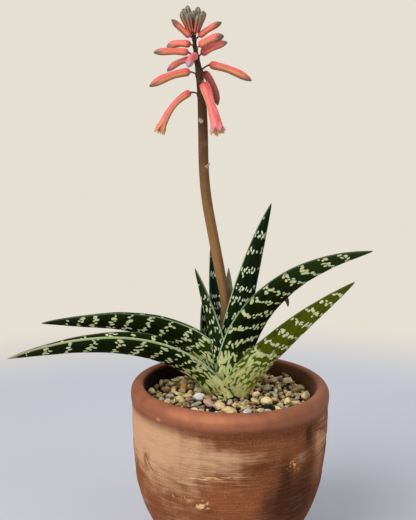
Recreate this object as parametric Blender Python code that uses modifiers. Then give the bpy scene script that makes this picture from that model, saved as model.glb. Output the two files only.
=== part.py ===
"""A tiger aloe in flower, planted in a round clay pot and top-dressed with gravel.

Lengths are in metres and angles in degrees. The pot's axis is the Z axis while the
pieces are made, with the foot of the pot at z = 0. A bearing is measured round the
axis from +X towards +Y, and a rise is measured up from level.
"""

import math
from collections import namedtuple

import bmesh
import bpy
from mathutils import Matrix, Vector, noise

# ---- Driving dimensions ----------------------------------------------------------------

GAP = 0.0003                    # clearance kept between pieces that touch
FACETS = 36                     # sides of the pot, the soil and the gravel
STEM_FACETS = 12

POT_HEIGHT = 0.130
FOOT_RADIUS = 0.0405
DRAIN_RADIUS = 0.007
FLOOR_THICKNESS = 0.010
INNER_RADIUS = 0.0600           # bore of the pot from its shoulder to its lip
INNER_FOOT_RADIUS = 0.034
LIP_EDGE_RADIUS = 0.0612

SOIL_TOP = 0.1085
GRAVEL_EDGE = 0.1190            # height of the gravel at the pot's wall
GRAVEL_MOUND = 0.0040           # how much higher it lies round the plant
GRAVEL_OPENING = 0.0100         # radius left free for the stem
GRAVEL_LUMP = 0.0009
GRAVEL_RINGS = 7
GRAVEL_LUMP_SCALE = 160.0       # lumps per metre, near enough

STEM_TOP = 0.1350
STEM_RADIUS = 0.0055
ROOT_COUNT = 6
ROOT_REACH = 0.036
ROOT_DROP = 0.046
ROOT_RADIUS = 0.0021
ROOT_KNOTS = 6                  # points along one root

LEAF_RINGS = 11
LEAF_SWELL = 0.6                # how far a leaf swells before it tapers
LEAF_BLUNTNESS = 0.8
TIP_SHARE = 0.35                # last fraction of a bud over which it closes

Leaf = namedtuple(
    "Leaf",
    "name bearing sway rise tip_rise curl length width keel fold roll tip_roll height radius lateral",
)

# Oldest and outermost first: each leaf clasps the ones after it.
LEAVES = [
    Leaf("leaf_front_left", 185.7, 4, 60, -10, 2.0, 0.162, 0.031, 0.25, 44, -10, 12, 0.1180, 0.0061, 0),
    Leaf("leaf_front_right", -30, -6, 57, 41, 2.3, 0.124, 0.0335, 0.23, 39, 2, -2, 0.1225, 0.0060, 0),
    Leaf("leaf_back_left", 175.8, 3, 70, -2, 2.7, 0.144, 0.031, 0.23, 48, 12, 9, 0.1304, 0.0058, -0.0012),
    Leaf("leaf_big_right", -11.2, 1.5, 97, 12, 1.4, 0.149, 0.0355, 0.28, 39, -15, -10, 0.1255, 0.0060, 0),
    Leaf("leaf_low_back_left", 132, 0, 50, -8, 1.5, 0.080, 0.026, 0.23, 38, 0, 0, 0.1190, 0.0070, 0),
    Leaf("leaf_low_back", 74, 0, 52, 0, 1.4, 0.088, 0.026, 0.23, 38, 0, 0, 0.1200, 0.0070, 0),
    Leaf("leaf_dry_tip", 50, 11, 73, -92, 0.43, 0.109, 0.016, 0.22, 30, 0, 0, 0.1288, 0.0070, 0.0015),
    Leaf("leaf_tall_right", -46, 3, 78.3, 72.6, 1.2, 0.1315, 0.0321, 0.13, 28, -5.9, -10.7, 0.1313, 0.0004, 0.0025),
    Leaf("leaf_tall_back", 112.5, 0, 77, 78, 1.0, 0.100, 0.0205, 0.20, 23, 0, -5, 0.1325, 0.0061, 0.0025),
    Leaf("leaf_narrow_back", 84.5, 4, 62, 92, 1.0, 0.080, 0.017, 0.20, 28, 0, 3, 0.1302, 0.0070, 0.0025),
    Leaf("leaf_small_left", 158, -4, 60, 98, 0.92, 0.0615, 0.0168, 0.20, 22, -2, -14, 0.1280, 0.0073, 0.0024),
    Leaf("leaf_small_front", 220, 2, 78, 68, 0.87, 0.0847, 0.017, 0.20, 24, 8, 6, 0.1335, 0.0061, -0.0023),
]

# The flower stalk: centre points from the heart of the rosette to its tip, with radii.
SCAPE_POINTS = [
    (-0.0010, 0.0020, 0.1357, 0.0036),
    (-0.0042, 0.0020, 0.1660, 0.0039),
    (-0.0044, 0.0020, 0.1880, 0.0039),
    (-0.0074, 0.0020, 0.2087, 0.0037),
    (-0.0117, 0.0020, 0.2319, 0.0035),
    (-0.0164, 0.0020, 0.2582, 0.0034),
    (-0.0184, 0.0020, 0.2800, 0.0033),
    (-0.0190, 0.0020, 0.3080, 0.0032),
    (-0.0199, 0.0020, 0.3287, 0.0028),
    (-0.0216, 0.0020, 0.3440, 0.0023),
    (-0.0238, 0.0020, 0.3575, 0.0014),
    (-0.0253, 0.0020, 0.3710, 0.0010),
]

Flower = namedtuple("Flower", "name height bearing stalk stalk_rise length rise tip_rise curl radius stamens")

FLOWERS = [
    Flower("flower_left_hanging", 0.3296, 192, 0.0043, 10, 0.0328, -23, -68, 1.5, 0.0025, 0.002),
    Flower("flower_right_hanging", 0.3370, -55, 0.0015, -30, 0.0370, -57, -68, 1.0, 0.0028, 0.004),
    Flower("flower_left_large", 0.3422, 200, 0.0042, 20, 0.0300, -5, -32, 1.2, 0.0028, 0),
    Flower("flower_right_shaded", 0.3440, 50, 0.0030, -5, 0.0265, -30, -76, 1.3, 0.0021, 0),
    Flower("flower_right_large", 0.3450, 2, 0.0060, 36, 0.0302, -8, -33, 1.0, 0.0028, 0),
    Flower("flower_left_behind", 0.3510, 148, 0.0030, 20, 0.0210, 2, -38, 1.2, 0.0022, 0),
    Flower("flower_front", 0.3527, -105, 0.0020, 20, 0.0185, 2, -50, 1.2, 0.0026, 0),
    Flower("flower_left_level", 0.3535, 186, 0.0045, 40, 0.0232, 6, -8, 1.0, 0.0024, 0),
    Flower("flower_right_behind", 0.3535, 28, 0.0030, 50, 0.0215, 33, 13, 1.0, 0.0022, 0),
    Flower("flower_right_upper", 0.3590, -22, 0.0020, 40, 0.0178, 31, 7, 1.0, 0.0024, 0),
    Flower("flower_left_upper", 0.3605, 160, 0.0030, 25, 0.0160, 14, -22, 1.2, 0.0022, 0),
    Flower("bud_left", 0.3653, 205, 0.0020, 35, 0.0165, 36, 40, 1.0, 0.0021, 0),
    Flower("bud_right", 0.3647, -15, 0.0025, 48, 0.0178, 38, 20, 1.0, 0.0021, 0),
    Flower("bud_top_left", 0.3675, 188, 0.0015, 55, 0.0148, 60, 64, 1.0, 0.0021, 0),
    Flower("bud_top_right", 0.3680, -4, 0.0015, 60, 0.0144, 64, 70, 1.0, 0.0021, 0),
    Flower("bud_top_front_left", 0.3680, 242, 0.0015, 55, 0.0128, 60, 66, 1.0, 0.0021, 0),
    Flower("bud_top_front_right", 0.3675, 298, 0.0015, 55, 0.0125, 60, 66, 1.0, 0.0022, 0),
    Flower("bud_top_behind", 0.3690, 92, 0.0015, 60, 0.0125, 62, 68, 1.0, 0.0019, 0),
    Flower("bud_tip_left", 0.3700, 172, 0.0015, 62, 0.0140, 68, 74, 1.0, 0.0019, 0),
    Flower("bud_tip_middle", 0.3708, 145, 0.0015, 74, 0.0148, 76, 82, 1.0, 0.0018, 0),
    Flower("bud_tip_right", 0.3705, 35, 0.0015, 74, 0.0142, 78, 82, 1.0, 0.0019, 0),
]

Stone = namedtuple("Stone", "name x y length width height turn colour")

STONES = [
    Stone("stone_white", -0.0218, -0.0106, 0.0068, 0.0056, 0.0050, 20, (0.86, 0.83, 0.78)),
    Stone("stone_orange", -0.0330, 0.0120, 0.0060, 0.0048, 0.0042, 70, (0.80, 0.44, 0.10)),
    Stone("stone_tan_left", -0.0085, -0.0285, 0.0085, 0.0066, 0.0056, 60, (0.66, 0.50, 0.28)),
    Stone("stone_tan_right", -0.0010, -0.0370, 0.0080, 0.0064, 0.0052, 160, (0.74, 0.55, 0.31)),
    Stone("stone_pink", -0.0150, -0.0230, 0.0070, 0.0052, 0.0044, 10, (0.62, 0.42, 0.34)),
    Stone("stone_blue_grey", 0.0104, -0.0380, 0.0052, 0.0046, 0.0040, 0, (0.66, 0.70, 0.74)),
    Stone("stone_yellow", 0.0250, -0.0187, 0.0072, 0.0054, 0.0048, 35, (0.76, 0.62, 0.30)),
    Stone("stone_cream", 0.0535, -0.0043, 0.0060, 0.0050, 0.0046, 90, (0.82, 0.66, 0.38)),
]
STONE_SINK = 0.4                # share of a stone's height that lies in the gravel

BRACT_LENGTH = 0.0040
BRACTS = [("bract_lower", 0.2815, -40), ("bract_upper", 0.3115, -110)]

TERRACOTTA = ("terracotta", (0.50, 0.19, 0.09), 0.85)
SOIL = ("soil", (0.06, 0.04, 0.03), 0.95)
GRAVEL = ("gravel", (0.45, 0.33, 0.20), 0.80)
ROOT = ("root", (0.42, 0.30, 0.16), 0.80)
LEAF_GREEN = ("leaf", (0.05, 0.12, 0.03), 0.45)
STALK_BROWN = ("flower_stalk", (0.22, 0.10, 0.05), 0.60)
PETAL_CORAL = ("petal", (0.80, 0.16, 0.12), 0.45)
DRY_BRACT = ("dry_bract", (0.62, 0.45, 0.32), 0.80)


# ---- Scene helpers -----------------------------------------------------------------------

def clear_scene():
    for obj in list(bpy.data.objects):
        bpy.data.objects.remove(obj)


def new_collection(name, hidden=False):
    collection = bpy.data.collections.new(name)
    collection.hide_render = hidden
    bpy.context.scene.collection.children.link(collection)
    return collection


def new_material(name, colour, roughness):
    material = bpy.data.materials.new(name)
    material.use_nodes = True
    shader = material.node_tree.nodes["Principled BSDF"]
    shader.inputs["Base Color"].default_value = (*colour, 1.0)
    shader.inputs["Roughness"].default_value = roughness
    shader.inputs["Metallic"].default_value = 0.0
    return material


def add_object(name, data, root, collection):
    obj = bpy.data.objects.new(name, data)
    obj.parent = root
    collection.objects.link(obj)
    return obj


def add_mesh(name, shape, root, collection):
    """Make an object from a bmesh, which is used up."""
    mesh = bpy.data.meshes.new(name)
    shape.to_mesh(mesh)
    shape.free()
    return add_object(name, mesh, root, collection)


def dress(obj, finish):
    """Give a finished piece its own material and smooth shading."""
    label, colour, roughness = finish
    obj.data.materials.clear()
    obj.data.materials.append(new_material(f"{obj.name}_{label}", colour, roughness))
    obj.data.shade_smooth()
    obj.data.set_sharp_from_angle(angle=math.radians(50))
    return obj


def evaluated_mesh(obj):
    """The object's mesh with its modifiers, or its curve bevel, worked out and welded."""
    bpy.context.view_layer.update()
    graph = bpy.context.evaluated_depsgraph_get()
    mesh = bpy.data.meshes.new_from_object(obj.evaluated_get(graph))
    shape = bmesh.new()
    shape.from_mesh(mesh)
    bmesh.ops.remove_doubles(shape, verts=shape.verts, dist=1e-6)
    shape.to_mesh(mesh)
    shape.free()
    return mesh


def bake(obj):
    """Replace an object's mesh by what its modifiers make of it."""
    mesh = evaluated_mesh(obj)
    obj.modifiers.clear()
    obj.data = mesh
    return obj


def add_tube(name, points, radii, root, collection):
    """A capped tube along points, with a radius at each, as a mesh object."""
    curve = bpy.data.curves.new(name, "CURVE")
    curve.dimensions = "3D"
    curve.bevel_depth = 1.0
    curve.bevel_resolution = 2
    curve.use_fill_caps = True
    spline = curve.splines.new("POLY")
    spline.points.add(len(points) - 1)
    for knot, point, radius in zip(spline.points, points, radii):
        knot.co = (*point, 1.0)
        knot.radius = radius
    drawn = add_object(name + "_path", curve, root, collection)
    mesh = evaluated_mesh(drawn)
    bpy.data.objects.remove(drawn)
    return add_object(name, mesh, root, collection)


def add_turned(name, profile, facets, root, collection):
    """Turn a profile of (radius, height) points, outer side first, top to bottom."""
    shape = bmesh.new()
    corners = [shape.verts.new((radius, 0.0, height)) for radius, height in profile]
    for start, end in zip(corners, corners[1:]):
        shape.edges.new((start, end))
    if min(radius for radius, _ in profile) > 0.0:
        shape.edges.new((corners[-1], corners[0]))
    obj = add_mesh(name, shape, root, collection)
    screw = obj.modifiers.new("Turn", "SCREW")
    screw.steps = facets
    screw.render_steps = facets
    screw.use_merge_vertices = True
    screw.merge_threshold = 0.00001
    return obj


# ---- Cutting one piece clear of another --------------------------------------------------

def swollen(obj, gap, root, cutters):
    """A copy of a piece, grown by a gap all over, to cut its neighbours with."""
    shape = bmesh.new()
    shape.from_mesh(obj.data)
    shape.normal_update()
    moves = [(vert, vert.co + vert.normal * gap) for vert in shape.verts]
    for vert, place in moves:
        vert.co = place
    cutter = add_mesh(obj.name + "_clearance", shape, root, cutters)
    cutter.display_type = "WIRE"
    cutter.hide_render = True
    return cutter


def boxes_meet(first, second):
    corners = [[obj.matrix_world @ Vector(corner) for corner in obj.bound_box] for obj in (first, second)]
    for axis in range(3):
        low = max(min(corner[axis] for corner in box) for box in corners)
        high = min(max(corner[axis] for corner in box) for box in corners)
        if low > high:
            return False
    return True


def cut(obj, cutter):
    if boxes_meet(obj, cutter):
        change = obj.modifiers.new(cutter.name, "BOOLEAN")
        change.operation = "DIFFERENCE"
        change.solver = "EXACT"
        change.object = cutter


def keep_piece_at(obj, point):
    """Drop what a cut has severed: keep only the piece that reaches nearest to a point."""
    shape = bmesh.new()
    shape.from_mesh(obj.data)
    shape.verts.ensure_lookup_table()
    nearest = min(shape.verts, key=lambda vert: (vert.co - point).length)
    kept = {nearest}
    border = [nearest]
    while border:
        for edge in border.pop().link_edges:
            for vert in edge.verts:
                if vert not in kept:
                    kept.add(vert)
                    border.append(vert)
    bmesh.ops.delete(shape, geom=[vert for vert in shape.verts if vert not in kept], context="VERTS")
    shape.to_mesh(obj.data)
    shape.free()


# ---- Pot, soil and gravel ----------------------------------------------------------------

def make_pot(root, parts):
    profile = [
        (0.0655, POT_HEIGHT), (0.0680, 0.1284), (0.0697, 0.1255), (0.0700, 0.1220),
        (0.0696, 0.1192), (0.0689, 0.1176), (0.0692, 0.1154), (0.0693, 0.1050),
        (0.0686, 0.0850), (0.0658, 0.0600), (0.0615, 0.0450), (0.0571, 0.0350),
        (0.0520, 0.0230), (0.0452, 0.0090), (0.0422, 0.0020), (FOOT_RADIUS, 0.0),
        (DRAIN_RADIUS, 0.0), (DRAIN_RADIUS, FLOOR_THICKNESS),
        (INNER_FOOT_RADIUS, FLOOR_THICKNESS), (0.0500, 0.0320), (0.0575, 0.0560),
        (INNER_RADIUS, 0.0800), (INNER_RADIUS, 0.1230), (LIP_EDGE_RADIUS, 0.1285),
        (0.0630, POT_HEIGHT),
    ]
    return dress(bake(add_turned("pot", profile, FACETS, root, parts)), TERRACOTTA)


def make_root_stock(root, parts):
    """The short stem inside the rosette, with the fleshy roots that hold it in the soil."""
    profile = [
        (0.0, STEM_TOP), (0.0034, STEM_TOP - 0.0006), (0.0050, STEM_TOP - 0.0035),
        (STEM_RADIUS, 0.1250), (0.0068, 0.1120), (0.0065, 0.1000), (0.0040, 0.0800),
        (0.0015, 0.0640), (0.0, 0.0630),
    ]
    stock = bake(add_turned("root_stock", profile, STEM_FACETS, root, parts))
    stubs = []
    for i in range(ROOT_COUNT):
        bearing = math.tau * i / ROOT_COUNT + 0.3
        top = 0.1020 - 0.0022 * i
        points = []
        radii = []
        for j in range(ROOT_KNOTS):
            share = j / (ROOT_KNOTS - 1)
            reach = 0.0030 + ROOT_REACH * share ** 0.8
            points.append(Vector((
                reach * math.cos(bearing + 0.25 * share),
                reach * math.sin(bearing + 0.25 * share),
                top - ROOT_DROP * share ** 1.4,
            )))
            radii.append(ROOT_RADIUS * (1.0 - 0.75 * share))
        stub = add_tube(f"root_{i + 1}", points, radii, root, parts)
        join = stock.modifiers.new(stub.name, "BOOLEAN")
        join.operation = "UNION"
        join.solver = "EXACT"
        join.object = stub
        stubs.append(stub)
    bake(stock)
    for stub in stubs:
        bpy.data.objects.remove(stub)
    return dress(stock, ROOT)


def make_soil(root, parts, cutters, root_clearance):
    outer = INNER_RADIUS - GAP
    profile = [
        (0.0, SOIL_TOP), (outer, SOIL_TOP), (outer, 0.0802), (0.0575 - GAP, 0.0562),
        (0.0500 - GAP, 0.0323), (INNER_FOOT_RADIUS - 0.0006, FLOOR_THICKNESS + GAP),
        (0.0, FLOOR_THICKNESS + GAP),
    ]
    soil = bake(add_turned("soil", profile, FACETS, root, parts))
    cut(soil, root_clearance)
    return dress(bake(soil), SOIL)


def gravel_height(x, y):
    """Height of the gravel's surface: mounded round the plant, with lumps of pebble size."""
    radius = math.hypot(x, y)
    mound = GRAVEL_MOUND * (1.0 - min(radius / INNER_RADIUS, 1.0))
    lump = GRAVEL_LUMP * noise.noise(Vector((x, y, 0.0)) * GRAVEL_LUMP_SCALE)
    return GRAVEL_EDGE + mound + lump


def make_gravel_bed(root, parts):
    outer = INNER_RADIUS - GAP
    shape = bmesh.new()
    radii = [GRAVEL_OPENING + (outer - GRAVEL_OPENING) * i / GRAVEL_RINGS for i in range(GRAVEL_RINGS + 1)]
    top = [shape.verts.new((radius, 0.0, GRAVEL_EDGE)) for radius in radii]
    bottom = [shape.verts.new((radius, 0.0, SOIL_TOP + GAP)) for radius in (outer, GRAVEL_OPENING)]
    loop = top + bottom
    for start, end in zip(loop, loop[1:] + loop[:1]):
        shape.edges.new((start, end))
    bmesh.ops.spin(
        shape, geom=shape.verts[:] + shape.edges[:], cent=(0, 0, 0), axis=(0, 0, 1),
        angle=math.tau, steps=FACETS, use_merge=True,
    )
    bmesh.ops.remove_doubles(shape, verts=shape.verts, dist=1e-6)
    for vert in shape.verts:
        if vert.co.z > SOIL_TOP + 0.001:
            vert.co.z = gravel_height(vert.co.x, vert.co.y)
    bmesh.ops.recalc_face_normals(shape, faces=shape.faces)
    return add_mesh("gravel_bed", shape, root, parts)


def make_stone(stone, root, parts):
    shape = bmesh.new()
    bmesh.ops.create_icosphere(shape, subdivisions=2, radius=0.5)
    for vert in shape.verts:
        worn = 1.0 + 0.22 * noise.noise(vert.co * 2.2 + Vector((stone.x, stone.y, 0.0)) * 900.0)
        vert.co *= worn
    size = Matrix.Diagonal((stone.length, stone.width, stone.height, 1.0))
    bmesh.ops.transform(shape, matrix=Matrix.Rotation(math.radians(stone.turn), 4, "Z") @ size, verts=shape.verts)
    height = gravel_height(stone.x, stone.y) + stone.height * (0.5 - STONE_SINK)
    bmesh.ops.translate(shape, vec=(stone.x, stone.y, height), verts=shape.verts)
    obj = add_mesh(stone.name, shape, root, parts)
    return dress(obj, ("stone", stone.colour, 0.7))


# ---- Leaves ------------------------------------------------------------------------------

def bent(start, end, curl, share):
    """An angle in radians that runs from start to end, quickest near the base."""
    return math.radians(end + (start - end) * (1.0 - share) ** curl)


def leaf_axes(leaf, share):
    """Directions along, across and up out of the channel of a leaf, part of the way along it."""
    rise = bent(leaf.rise, leaf.tip_rise, leaf.curl, share)
    turn = math.radians(leaf.bearing + leaf.sway * share)
    roll = math.radians(leaf.roll + (leaf.tip_roll - leaf.roll) * share)
    along = Vector((math.cos(rise) * math.cos(turn), math.cos(rise) * math.sin(turn), math.sin(rise)))
    level = Vector((-math.sin(turn), math.cos(turn), 0.0))
    upright = along.cross(level)
    across = level * math.cos(roll) + upright * math.sin(roll)
    up = upright * math.cos(roll) - level * math.sin(roll)
    return along, across, up


def leaf_start(leaf):
    turn = math.radians(leaf.bearing)
    outward = Vector((math.cos(turn), math.sin(turn), 0.0))
    sideways = Vector((-math.sin(turn), math.cos(turn), 0.0))
    return outward * leaf.radius + sideways * leaf.lateral + Vector((0.0, 0.0, leaf.height))


def leaf_section(leaf, half_width):
    """Points (across, up) round a keeled leaf, from one margin over the channel and back."""
    lean = math.radians(leaf.fold)
    depth = 2.0 * half_width * leaf.keel
    section = []
    for side in (1.0, 0.62, 0.25, 0.0, -0.25, -0.62, -1.0):
        section.append((side * half_width * math.cos(lean), half_width * math.sin(lean) * abs(side) ** 1.4))
    for side in (-0.62, -0.25, 0.0, 0.25, 0.62):
        channel = half_width * math.sin(lean) * abs(side) ** 1.4
        section.append((side * half_width * math.cos(lean), channel - depth * (1.0 - abs(side) ** 1.5)))
    return section


def make_leaf(leaf, root, parts):
    shape = bmesh.new()
    centre = leaf_start(leaf)
    rings = []
    for i in range(LEAF_RINGS):
        share = i / LEAF_RINGS
        _, across, up = leaf_axes(leaf, share)
        half_width = leaf.width / 2 * (1.0 - share) ** LEAF_BLUNTNESS * (1.0 + LEAF_SWELL * share)
        rings.append([
            shape.verts.new(centre + across * side + up * lift)
            for side, lift in leaf_section(leaf, half_width)
        ])
        along, _, _ = leaf_axes(leaf, share + 0.5 / LEAF_RINGS)
        centre = centre + along * (leaf.length / LEAF_RINGS)
    tip = shape.verts.new(centre)
    for lower, upper in zip(rings, rings[1:]):
        for j in range(len(lower)):
            shape.faces.new((lower[j - 1], lower[j], upper[j], upper[j - 1]))
    for j in range(len(rings[-1])):
        shape.faces.new((rings[-1][j - 1], rings[-1][j], tip))
    shape.faces.new(rings[0])
    bmesh.ops.recalc_face_normals(shape, faces=shape.faces)
    bmesh.ops.triangulate(shape, faces=shape.faces)
    return add_mesh(leaf.name, shape, root, parts), centre


def make_leaves(root, parts, cutters, core):
    """The rosette: each leaf is cut clear of the core and of the older leaves that clasp it."""
    clearances = list(core)
    leaves = []
    for leaf in LEAVES:
        obj, tip = make_leaf(leaf, root, parts)
        clearance = swollen(obj, GAP, root, cutters)
        bpy.context.view_layer.update()
        for cutter in clearances:
            cut(obj, cutter)
        bake(obj)
        keep_piece_at(obj, tip)
        clearances.append(clearance)
        leaves.append(dress(obj, LEAF_GREEN))
    return leaves, clearances[len(core):]


# ---- Flower stalk and flowers ------------------------------------------------------------

def make_scape(root, parts):
    points = [Vector(point[:3]) for point in SCAPE_POINTS]
    radii = [point[3] for point in SCAPE_POINTS]
    return dress(add_tube("flower_stalk", points, radii, root, parts), STALK_BROWN)


def scape_at(height):
    """Centre and radius of the flower stalk at a height."""
    for lower, upper in zip(SCAPE_POINTS, SCAPE_POINTS[1:]):
        if height <= upper[2]:
            share = (height - lower[2]) / (upper[2] - lower[2])
            values = [a + (b - a) * share for a, b in zip(lower, upper)]
            return Vector(values[:3]), values[3]
    return Vector(SCAPE_POINTS[-1][:3]), SCAPE_POINTS[-1][3]


def direction(rise, turn):
    return Vector((math.cos(rise) * math.cos(turn), math.cos(rise) * math.sin(turn), math.sin(rise)))


def bud_outline(flower):
    """(share of the tube's length, radius) down a closed bud."""
    full = flower.radius
    return [
        (0.00, full * 0.55), (0.04, full * 0.90), (0.18, full * 0.95), (0.40, full * 0.90),
        (1.0 - TIP_SHARE, full), (0.80, full * 0.93), (0.93, full * 0.62), (1.00, full * 0.18),
    ]


def open_outline(flower):
    """(share of the tube's length, radius) down an open flower, with its lips flared."""
    full = flower.radius
    return [
        (0.00, full * 0.55), (0.04, full * 0.95), (0.18, full * 0.98), (0.38, full * 0.82),
        (0.65, full * 0.98), (0.88, full * 1.10), (1.00, full * 1.40),
    ]


def make_flower(flower, root, parts):
    turn = math.radians(flower.bearing)
    centre, radius = scape_at(flower.height)
    place = centre + direction(0.0, turn) * (radius + GAP)
    points = [place]
    radii = [0.0006]
    place = place + direction(math.radians(flower.stalk_rise), turn) * flower.stalk
    outline = open_outline(flower) if flower.stamens else bud_outline(flower)
    reached = 0.0
    for share, half in outline:
        rise = bent(flower.rise, flower.tip_rise, flower.curl, (share + reached) / 2)
        place = place + direction(rise, turn) * flower.length * (share - reached)
        points.append(place)
        radii.append(half)
        reached = share
    if flower.stamens:
        onward = direction(math.radians(flower.tip_rise), turn)
        points += [place + onward * 0.0003, place + onward * flower.stamens]
        radii += [0.0013, 0.0009]
    return add_tube(flower.name, points, radii, root, parts)


def make_flowers(root, parts, cutters, stalk_clearance):
    """Each flower is cut clear of the stalk and of the flowers below it."""
    clearances = [stalk_clearance]
    flowers = []
    for flower in FLOWERS:
        obj = make_flower(flower, root, parts)
        clearance = swollen(obj, GAP, root, cutters)
        bpy.context.view_layer.update()
        for cutter in clearances:
            cut(obj, cutter)
        bake(obj)
        tip = max(obj.data.vertices, key=lambda vert: (vert.co - scape_at(flower.height)[0]).length)
        keep_piece_at(obj, tip.co.copy())
        clearances.append(clearance)
        flowers.append(dress(obj, PETAL_CORAL))
    return flowers


def make_bract(name, height, bearing, root, parts):
    """A dry papery scale that stays on the stalk where a flower never formed."""
    turn = math.radians(bearing)
    centre, radius = scape_at(height)
    shape = bmesh.new()
    bmesh.ops.create_cone(
        shape, cap_ends=True, segments=8, radius1=0.0013, radius2=0.0003, depth=BRACT_LENGTH,
    )
    thin = Matrix.Diagonal((0.45, 1.0, 1.0, 1.0))
    lean = Matrix.Rotation(math.radians(28), 4, "Y")
    place = centre + direction(0.0, turn) * (radius + 0.0019)
    bmesh.ops.transform(
        shape, matrix=Matrix.Translation(place) @ Matrix.Rotation(turn, 4, "Z") @ lean @ thin, verts=shape.verts,
    )
    return dress(add_mesh(name, shape, root, parts), DRY_BRACT)


# ---- Assembly ----------------------------------------------------------------------------

def centre_on_axis(root, parts):
    """Move the whole object so that the middle of its box stands over the origin."""
    bpy.context.view_layer.update()
    corners = [obj.matrix_world @ vert.co for obj in parts.objects if obj.type == "MESH" for vert in obj.data.vertices]
    middle = [(min(c[axis] for c in corners) + max(c[axis] for c in corners)) / 2 for axis in (0, 1)]
    root.location = (-middle[0], -middle[1], 0.0)
    bpy.context.view_layer.update()


def main():
    clear_scene()
    parts = new_collection("potted_tiger_aloe")
    cutters = new_collection("clearances", hidden=True)
    root = bpy.data.objects.new("potted_tiger_aloe", None)
    parts.objects.link(root)

    make_pot(root, parts)
    stock = make_root_stock(root, parts)
    scape = make_scape(root, parts)
    stock_clearance = swollen(stock, GAP, root, cutters)
    scape_clearance = swollen(scape, GAP, root, cutters)
    make_soil(root, parts, cutters, stock_clearance)

    leaves, leaf_clearances = make_leaves(root, parts, cutters, [stock_clearance, scape_clearance])
    stones = [make_stone(stone, root, parts) for stone in STONES]
    bed = make_gravel_bed(root, parts)
    bpy.context.view_layer.update()
    for cutter in [stock_clearance] + leaf_clearances + [swollen(stone, GAP, root, cutters) for stone in stones]:
        bpy.context.view_layer.update()
        cut(bed, cutter)
    bake(bed)
    keep_piece_at(bed, Vector((INNER_RADIUS, 0.0, SOIL_TOP)))
    dress(bed, GRAVEL)

    make_flowers(root, parts, cutters, scape_clearance)
    for name, height, bearing in BRACTS:
        make_bract(name, height, bearing, root, parts)
    centre_on_axis(root, parts)


main()
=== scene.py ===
"""Looks for a tiger aloe in flower, planted in a round clay pot that is dressed with pebbles.

Lengths are in metres and angles in degrees. Shapes are worked out round the pot's own axis,
with the foot of the pot at z = 0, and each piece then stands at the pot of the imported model.
A bearing is measured round that axis from +X towards +Y, and a rise is measured up from level.
"""

import math
import random
from collections import namedtuple

import bmesh
import bpy
import numpy as np
from bpy.props import FloatProperty, FloatVectorProperty, IntProperty, PointerProperty
from mathutils import Matrix, Vector, noise
from mathutils.bvhtree import BVHTree


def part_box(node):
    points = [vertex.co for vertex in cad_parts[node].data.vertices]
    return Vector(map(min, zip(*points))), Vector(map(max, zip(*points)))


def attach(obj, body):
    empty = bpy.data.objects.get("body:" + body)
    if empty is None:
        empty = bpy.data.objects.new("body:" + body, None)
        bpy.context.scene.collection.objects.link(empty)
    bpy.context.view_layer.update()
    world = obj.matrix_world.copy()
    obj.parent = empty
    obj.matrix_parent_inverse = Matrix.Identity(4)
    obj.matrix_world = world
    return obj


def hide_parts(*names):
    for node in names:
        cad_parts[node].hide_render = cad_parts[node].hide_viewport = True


bl_info = {
    "name": "Potted Tiger Aloe",
    "version": (1, 0, 0),
    "blender": (4, 5, 0),
    "location": "3D View > Sidebar > Aloe",
    "description": "Builds the pot, pebbles, leaves, stalk and flowers of a potted tiger aloe",
    "category": "Add Mesh",
}

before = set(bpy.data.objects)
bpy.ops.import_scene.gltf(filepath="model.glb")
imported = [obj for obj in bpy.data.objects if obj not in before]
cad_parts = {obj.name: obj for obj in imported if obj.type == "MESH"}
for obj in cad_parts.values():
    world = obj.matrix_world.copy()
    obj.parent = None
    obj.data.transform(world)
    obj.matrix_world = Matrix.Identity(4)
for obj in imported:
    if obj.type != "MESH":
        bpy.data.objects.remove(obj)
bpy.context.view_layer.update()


def pot_axis():
    low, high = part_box("pot")
    return Vector(((low.x + high.x) / 2, (low.y + high.y) / 2, 0.0))


AXIS = pot_axis()
BORE = 0.0600                   # inner radius of the pot from its shoulder to its lip

# ---- Growth of the plant -------------------------------------------------------------------

Leaf = namedtuple(
    "Leaf",
    "name bearing sway rise tip_rise curl length width keel fold roll tip_roll height radius lateral",
)

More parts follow.
